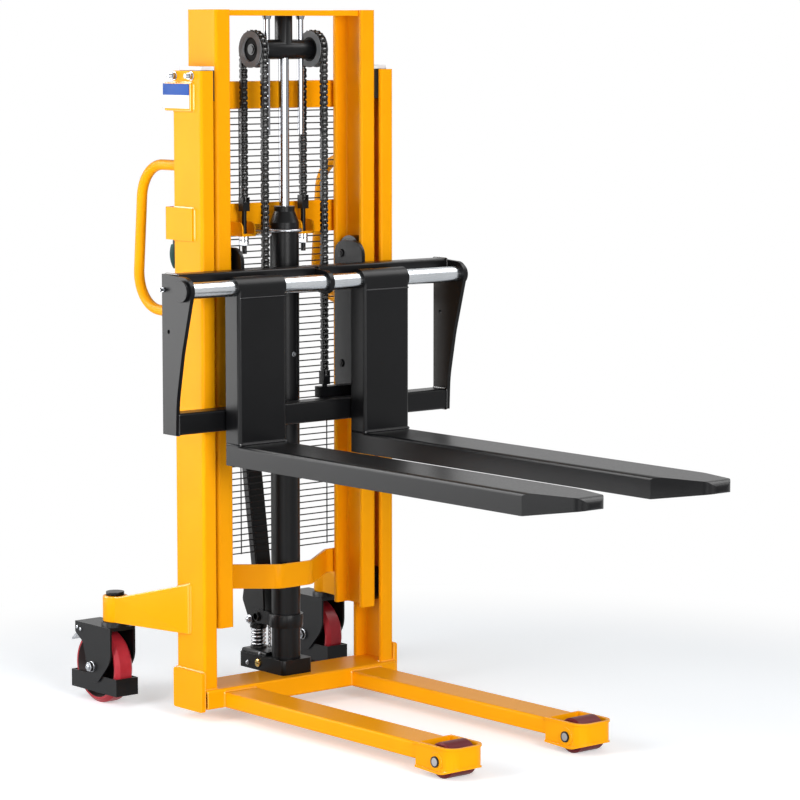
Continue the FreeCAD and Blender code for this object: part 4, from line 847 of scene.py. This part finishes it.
# Ends of the chains: how far above the lowest point the thread and the nuts start, their lengths
# and radii, and how far the bolts stand inside the width of the pieces that hold them
ANCHOR_RISE = 0.026
ANCHOR_THREAD = (0.0265, 0.0062)
ANCHOR_NUT = 0.0112
REAR_NUT_TOPS = (0.042, 0.0305)
REAR_BOLT_INSET = 0.0105
FRONT_NUT_TOP, FRONT_NUT_HEIGHT = 0.042, 0.0165
FRONT_BOLT_INSET = 0.009

# Grease nipple at each end of the fork shaft: place, foot and body
NIPPLE = (416, -27, 1031.5)
NIPPLE_FOOT = (0.0062, 0.005)
NIPPLE_BODY = ((0, 0.0036), (0.004, 0.0036), (0.0055, 0.0048), (0.008, 0.0048), (0.0095, 0.0034))


def chain_ends():
    """Threads and nuts under both ends of the chains, and the nipples of the fork shaft."""
    rear = bmesh.new()
    low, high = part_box("chain_anchor_bolts")
    for side in SIDES:
        place = Vector((side * (high.x - REAR_BOLT_INSET), (low.y + high.y) / 2, low.z))
        add_thread(rear, place + Z_AXIS * ANCHOR_RISE, -Z_AXIS, *ANCHOR_THREAD)
        for top in REAR_NUT_TOPS:
            add_hex(rear, place + Z_AXIS * top, -Z_AXIS, ANCHOR_NUT, ANCHOR_NUT)
    finish_piece("rear_anchor_nuts", rear, ZINC, "chassis")
    front = bmesh.new()
    clevis_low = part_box("chain_clevises")[0]
    low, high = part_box("front_chains")
    for side in SIDES:
        out = X_AXIS * side
        place = Vector((side * (high.x - FRONT_BOLT_INSET), (low.y + high.y) / 2, clevis_low.z))
        add_thread(front, place + Z_AXIS * ANCHOR_RISE, -Z_AXIS, *ANCHOR_THREAD)
        add_hex(front, place + Z_AXIS * FRONT_NUT_TOP, -Z_AXIS, ANCHOR_NUT, FRONT_NUT_HEIGHT)
        add_hex(front, beside(NIPPLE, side), out, *NIPPLE_FOOT)
        add_lathe(front, beside(NIPPLE, side) + out * NIPPLE_FOOT[1], out, NIPPLE_BODY, RIVET_SIDES)
    finish_piece("carriage_bolts", front, ZINC, "carriage")


# Caps of the fork shaft with their keeper plates, and ends of the carriage rollers' axles
CAP_RADIUS = 0.0248
CAP_DEPTH = 0.0080
CAP_PROFILE = ((0, CAP_RADIUS), (CAP_DEPTH, CAP_RADIUS), (0.0088, 0.0240), (0.0089, 0.006))
KEEPER_DEPTH = 0.0079
KEEPER_TAIL = (414, -27, 1031.5)
KEEPER_TAIL_RADIUS = 0.0085
KEEPER_THICK = 0.0024
KEEPER_STEPS = (32, 12)
AXLE_WASHERS = ((177, 64, 816), (177, 64, 1084))
AXLE_WASHER = ((0, 0.010), (0.003, 0.010), (0.004, 0.009))
AXLE_HEAD_SHIFT = 3
AXLE_HEAD = (0.0065, 0.003)


def add_keeper(shape, side, centre, radius):
    """Tear-shaped keeper plate between the shaft's end and its grease nipple."""
    reach = beside(KEEPER_TAIL, side).y - centre.y
    lean = math.acos((radius - KEEPER_TAIL_RADIUS) / reach)
    head_steps, tail_steps = KEEPER_STEPS
    rim = []
    for step in range(head_steps + 1):
        rim.append((0.0, radius, lean + (2 * math.pi - 2 * lean) * step / head_steps))
    for step in range(tail_steps + 1):
        rim.append((reach, KEEPER_TAIL_RADIUS, -lean + 2 * lean * step / tail_steps))
    rings = []
    for depth in (0.0, KEEPER_THICK):
        base = centre + X_AXIS * (side * depth)
        rings.append([base + Vector((0, along + size * math.cos(turn), size * math.sin(turn)))
                      for along, size, turn in rim])
    skin(shape, rings)


def shaft_ends():
    """Caps and keeper plates of the fork shaft, and the heads of the carriage rollers' axles."""
    shape = bmesh.new()
    low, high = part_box("fork_shaft")
    y, z = (low.y + high.y) / 2, (low.z + high.z) / 2
    for side in SIDES:
        out = X_AXIS * side
        add_lathe(shape, Vector((side * (high.x - CAP_DEPTH), y, z)), out, CAP_PROFILE, CAP_SIDES)
        add_keeper(shape, side, Vector((side * (high.x - KEEPER_DEPTH), y, z)), CAP_RADIUS)
        for place in AXLE_WASHERS:
            head = (place[0] - AXLE_HEAD_SHIFT, *place[1:])
            add_lathe(shape, beside(place, side), -out, AXLE_WASHER, HEAD_SIDES)
            add_hex(shape, beside(head, side), -out, *AXLE_HEAD)
    finish_piece("shaft_caps", shape, BLACK, "carriage")


# Casters: middle across the mast and half width in millimetres, the nut on the axle with its
# radius and washer, and the rivets of the brake
CASTER_X, CASTER_HALF = 325, 37
CASTER_AXLE = (360, 90)
CASTER_NUT = (0.0124, 1.06)
CASTER_RIVETS = ((420, 179), (406, 175))
RIVET_PROFILE = ((0, 0.0042), (0.002, 0.0042), (0.003, 0.003))

# Bolts of the tiller's press roller, and the radius of their heads
PRESS_BOLT = (27, 169, 193.3)
PRESS_HEAD = 0.0082


def caster_and_tiller_fittings():
    """Nuts and rivets of the casters, and the bolts that carry the tiller's press roller."""
    for side, name in zip(SIDES, SIDE_NAMES):
        nuts = bmesh.new()
        for hand in SIDES:
            x = side * CASTER_X + hand * CASTER_HALF
            add_bolt(nuts, at(x, *CASTER_AXLE), X_AXIS * hand, *CASTER_NUT)
            for rivet in CASTER_RIVETS:
                add_lathe(nuts, at(x, *rivet), X_AXIS * hand, RIVET_PROFILE, RIVET_SIDES)
        finish_piece("caster_nuts_" + name, nuts, ZINC, "caster_" + name)
    press = bmesh.new()
    for side in SIDES:
        add_bolt(press, beside(PRESS_BOLT, side), X_AXIS * side, PRESS_HEAD)
    finish_piece("press_bolts", press, ZINC, "tiller")


# Blank plate: its edges back from the posts' faces, its gaps to the arm's lower and upper edge, how
# far it stands out and sinks in, the rounding of its edges, and the height share of the white band,
# roughness and colours
SIGN_FROM, SIGN_TO = 0.034, 0.136
SIGN_BELOW, SIGN_ABOVE = 0.006, 0.003
SIGN_PROUD, SIGN_SUNK = 0.0016, 0.0002
SIGN_EDGE = 0.0006
SIGN_SPLIT = 0.54
SIGN_ROUGH = 0.35
SIGN_WHITE = (0.72, 0.74, 0.76)
SIGN_BLUE = (0.003, 0.060, 0.30)


def sign_plate():
    """Blank plate on the left arm of the upper tie plate: a blue band over white, with no lettering."""
    low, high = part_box("upper_tie_plate")
    shape = bmesh.new()
    bottom, top = low.z + SIGN_BELOW, high.z - SIGN_ABOVE
    first = (low.x - SIGN_PROUD, front_face + SIGN_FROM, bottom)
    last = (low.x + SIGN_SUNK, front_face + SIGN_TO, top)
    add_box(shape, first, last, SIGN_EDGE)
    split = bottom + (top - bottom) * SIGN_SPLIT
    plate = banded("blank_plate", split, SIGN_WHITE, SIGN_BLUE, SIGN_ROUGH)
    finish_piece("blank_plate", shape, plate, "chassis")


# Welds. Those of the frame are in millimetres as for at(), on the right.

FRAME_BEAD = 0.0032
POST_BEADS = (((POST_OUTER, 1, 78), (POST_INNER, 1, 78)),
              ((POST_INNER, 3, 78), (POST_INNER, 14, 78)),
              ((POST_OUTER, -1, 120), (POST_OUTER, 112, 120)),
              ((POST_OUTER, 0, 32), (POST_OUTER, 0, 118)))
ARM_BEADS = (((POST_OUTER, 54, 207), (POST_OUTER, 54, 323)),
             ((POST_OUTER, 54, 325), (POST_OUTER, 110, 311)))

# Legs: both ends back from the posts' faces, inner and outer side, lower and upper end of the beads
LEG_ENDS = (-11, -712)
LEG_INNER, LEG_OUTER = 146.5, 239.5
LEG_LOW, LEG_TOP = 34, 70

# Arms of the tie plates: from and to, back from the posts' faces
TIE_FROM, TIE_TO = 28, 108

# Push handles: middle of their feet, radius of the ring of beads round each, its beads and their radius
HANDLE_X, HANDLE_Y = 270, 112.5
HANDLE_FEET = (1306, 958)
HANDLE_RING = 12.8
HANDLE_STEPS = 24
HANDLE_BEAD = 0.0024

# Forks: front of the shanks before the posts' faces, height of the heel, the level beads by inset,
# distance before the shank, height and radius, and the beads on the cheeks by start, end and radius
FORK_FRONT = 0.124
HEEL_Z = 0.669
FORK_BEADS = ((0.002, 0.0, HEEL_Z + 0.002, 0.0055), (0.004, 0.001, 1.0095, 0.0022))
CHEEK_FROM, CHEEK_TO, CHEEK_BEAD = 0.004, 0.050, 0.0030

# Carriage: the side plates and the roller plates across the mast, and the height left bare
SIDE_PLATE_X = 0.404
ROLLER_PLATE_X = 0.1865
ROLLER_PLATE_BARE = 0.045
CARRIAGE_BEAD = 0.0026


def add_weld_loop(shape, points, radius):
    """Beads along the sides of a closed outline."""
    for start, end in zip(points, points[1:] + points[:1]):
        add_weld(shape, start, end, radius)


def frame_lines():
    """Ends of the straight beads on one side of the frame."""
    lines = list(POST_BEADS)
    for y in LEG_ENDS:
        lines.append(((LEG_INNER, y, LEG_TOP), (LEG_OUTER, y, LEG_TOP)))
        for x in (LEG_INNER, LEG_OUTER):
            lines.append(((x, y, LEG_LOW), (x, y, LEG_TOP)))
    lines += ARM_BEADS
    for node in ("upper_tie_plate", "mid_tie_plate"):
        low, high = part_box(node)
        bottom, top = low.z / MM, high.z / MM
        lines.append(((POST_OUTER, TIE_FROM, bottom), (POST_OUTER, TIE_FROM, top)))
        for z in (top, bottom):
            lines.append(((POST_OUTER, TIE_FROM, z), (POST_OUTER, TIE_TO, z)))
    return lines


def frame_welds():
    """Beads on the posts, legs, caster arms and tie plates, and round the feet of the push handles."""
    beads = bmesh.new()
    lines = frame_lines()
    for side in SIDES:
        for start, end in lines:
            add_weld(beads, beside(start, side), beside(end, side), FRAME_BEAD)
        for foot in HANDLE_FEET:
            ring = []
            for step in range(HANDLE_STEPS):
                angle = 2 * math.pi * step / HANDLE_STEPS
                x = side * HANDLE_X + HANDLE_RING * math.cos(angle)
                ring.append(at(x, HANDLE_Y, foot + HANDLE_RING * math.sin(angle)))
            add_weld_loop(beads, ring, HANDLE_BEAD)
    # The beads take the lighter orange copy: painted highlight.
    finish_piece("frame_welds", beads, ORANGE_EDGE_HIGHLIGHT, "chassis")


def fork_welds():
    """Beads at the heel, the head and the cheeks of each fork."""
    front = front_face - FORK_FRONT
    for name in SIDE_NAMES:
        low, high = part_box("fork_" + name)
        beads = bmesh.new()
        for inset, before, z, radius in FORK_BEADS:
            start = Vector((low.x + inset, front - before, z))
            end = Vector((high.x - inset, front - before, z))
            add_weld(beads, start, end, radius)
        for x in (low.x, high.x):
            start = Vector((x, front + CHEEK_FROM, HEEL_Z))
            end = Vector((x, front + CHEEK_TO, HEEL_Z))
            add_weld(beads, start, end, CHEEK_BEAD)
        finish_piece("fork_welds_" + name, beads, BEAD_HIGHLIGHT, "fork_" + name)


def carriage_welds():
    """Beads round the bars at the side plates, and where the bars meet the roller plates."""
    beads = bmesh.new()
    for side in SIDES:
        for node in ("upper_bar", "lower_bar"):
            low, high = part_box(node)
            x = side * SIDE_PLATE_X
            corners = [Vector((x, low.y, low.z)), Vector((x, low.y, high.z)),
                       Vector((x, high.y, high.z)), Vector((x, high.y, low.z))]
            add_weld_loop(beads, corners, CARRIAGE_BEAD)
            x = side * ROLLER_PLATE_X
            start = Vector((x, high.y, low.z + ROLLER_PLATE_BARE))
            add_weld(beads, start, Vector((x, high.y, high.z)), CARRIAGE_BEAD)
    finish_piece("carriage_welds", beads, BEAD_HIGHLIGHT, "carriage")


# Stage, light and camera

def soft_panel(name, place, aim, size, power, only_gloss):
    """Rectangular soft lamp, or a card that shows in glossy surfaces alone."""
    light = bpy.data.lights.new(name, "AREA")
    light.shape = "RECTANGLE"
    light.size, light.size_y = size
    light.energy = power
    lamp = bpy.data.objects.new(name, light)
    lamp.location = place
    lamp.rotation_euler = (Vector(aim) - Vector(place)).to_track_quat("-Z", "Y").to_euler()
    lamp.visible_camera = False
    lamp.visible_diffuse = not only_gloss
    bpy.context.scene.collection.objects.link(lamp)


def background_seen(tree):
    """1 for the rays that find the white background: those of the camera, of gloss and of glass."""
    path = tree.nodes.new("ShaderNodeLightPath")
    seen = path.outputs["Is Camera Ray"]
    for name in ("Is Glossy Ray", "Is Transmission Ray"):
        either = tree.nodes.new("ShaderNodeMath")
        either.operation = "MAXIMUM"
        tree.links.new(seen, either.inputs[0])
        tree.links.new(path.outputs[name], either.inputs[1])
        seen = either.outputs["Value"]
    return seen


def set_world():
    """Plain white to look at and in reflections, and a soft even light on matt surfaces."""
    world = bpy.data.worlds.new("studio")
    world.use_nodes = True
    bpy.context.scene.world = world
    tree = world.node_tree
    lit = tree.nodes["Background"]
    lit.inputs["Color"].default_value = WHITE
    lit.inputs["Strength"].default_value = ROOM_LEVEL
    shown = tree.nodes.new("ShaderNodeBackground")
    shown.inputs["Color"].default_value = WHITE
    shown.inputs["Strength"].default_value = 1.0
    mix = tree.nodes.new("ShaderNodeMixShader")
    tree.links.new(background_seen(tree), mix.inputs["Fac"])
    tree.links.new(lit.outputs["Background"], mix.inputs[1])
    tree.links.new(shown.outputs["Background"], mix.inputs[2])
    tree.links.new(mix.outputs["Shader"], tree.nodes["World Output"].inputs["Surface"])


def floor_material():
    """Pale floor that takes the shadow near the machine and goes to plain white further off."""
    material, tree, shader = new_material("floor")
    shader.inputs["Base Color"].default_value = FLOOR_COLOUR
    shader.inputs["Roughness"].default_value = FLOOR_ROUGHNESS
    shader.inputs["Specular IOR Level"].default_value = 0.0
    shader.inputs["Emission Color"].default_value = WHITE
    place = tree.nodes.new("ShaderNodeTexCoord")
    far = tree.nodes.new("ShaderNodeVectorMath")
    far.operation = "LENGTH"
    fade = tree.nodes.new("ShaderNodeMapRange")
    fade.interpolation_type = "SMOOTHSTEP"
    fade.inputs["From Min"].default_value = FLOOR_FADE[0]
    fade.inputs["From Max"].default_value = FLOOR_FADE[1]
    seen = tree.nodes.new("ShaderNodeMath")
    seen.operation = "MULTIPLY"
    glow = tree.nodes.new("ShaderNodeMath")
    glow.operation = "MULTIPLY"
    glow.inputs[1].default_value = FLOOR_GLOW
    white = tree.nodes.new("ShaderNodeEmission")
    white.inputs["Color"].default_value = WHITE
    white.inputs["Strength"].default_value = 1.0
    mix = tree.nodes.new("ShaderNodeMixShader")
    tree.links.new(place.outputs["Object"], far.inputs[0])
    tree.links.new(far.outputs["Value"], fade.inputs["Value"])
    shown = background_seen(tree)
    tree.links.new(shown, glow.inputs[0])
    tree.links.new(glow.outputs["Value"], shader.inputs["Emission Strength"])
    tree.links.new(fade.outputs["Result"], seen.inputs[0])
    tree.links.new(shown, seen.inputs[1])
    tree.links.new(seen.outputs["Value"], mix.inputs["Fac"])
    tree.links.new(shader.outputs["BSDF"], mix.inputs[1])
    tree.links.new(white.outputs["Emission"], mix.inputs[2])
    tree.links.new(mix.outputs["Shader"], tree.nodes["Material Output"].inputs["Surface"])
    return material


def set_floor():
    """Floor that takes the shadow, as part of the stage."""
    mesh = bpy.data.meshes.new("floor")
    corners = [(-FLOOR_HALF, -FLOOR_HALF, 0), (FLOOR_HALF, -FLOOR_HALF, 0),
               (FLOOR_HALF, FLOOR_HALF, 0), (-FLOOR_HALF, FLOOR_HALF, 0)]
    mesh.from_pydata(corners, [], [(0, 1, 2, 3)])
    floor = bpy.data.objects.new("floor", mesh)
    bpy.context.scene.collection.objects.link(floor)
    mesh.materials.append(floor_material())


def set_camera():
    """Camera as in the photo."""
    scene = bpy.context.scene
    data = bpy.data.cameras.new("photo_camera")
    data.lens = CAMERA_LENS
    data.sensor_width = SENSOR_WIDTH
    data.clip_end = CLIP_END
    camera = bpy.data.objects.new("photo_camera", data)
    camera.location = CAMERA_PLACE
    camera.rotation_euler = (math.pi / 2 - CAMERA_TILT, 0, CAMERA_AZIMUTH)
    scene.collection.objects.link(camera)
    scene.camera = camera


paint_nodes()
soften_edges()
chains()
return_spring()
mesh_guard()
chassis_fittings()
chain_ends()
shaft_ends()
caster_and_tiller_fittings()
sign_plate()
frame_welds()
fork_welds()
carriage_welds()

bpy.context.scene.view_settings.view_transform = "Standard"
set_world()
set_floor()
for lamp in LAMPS:
    soft_panel(*lamp)
set_camera()
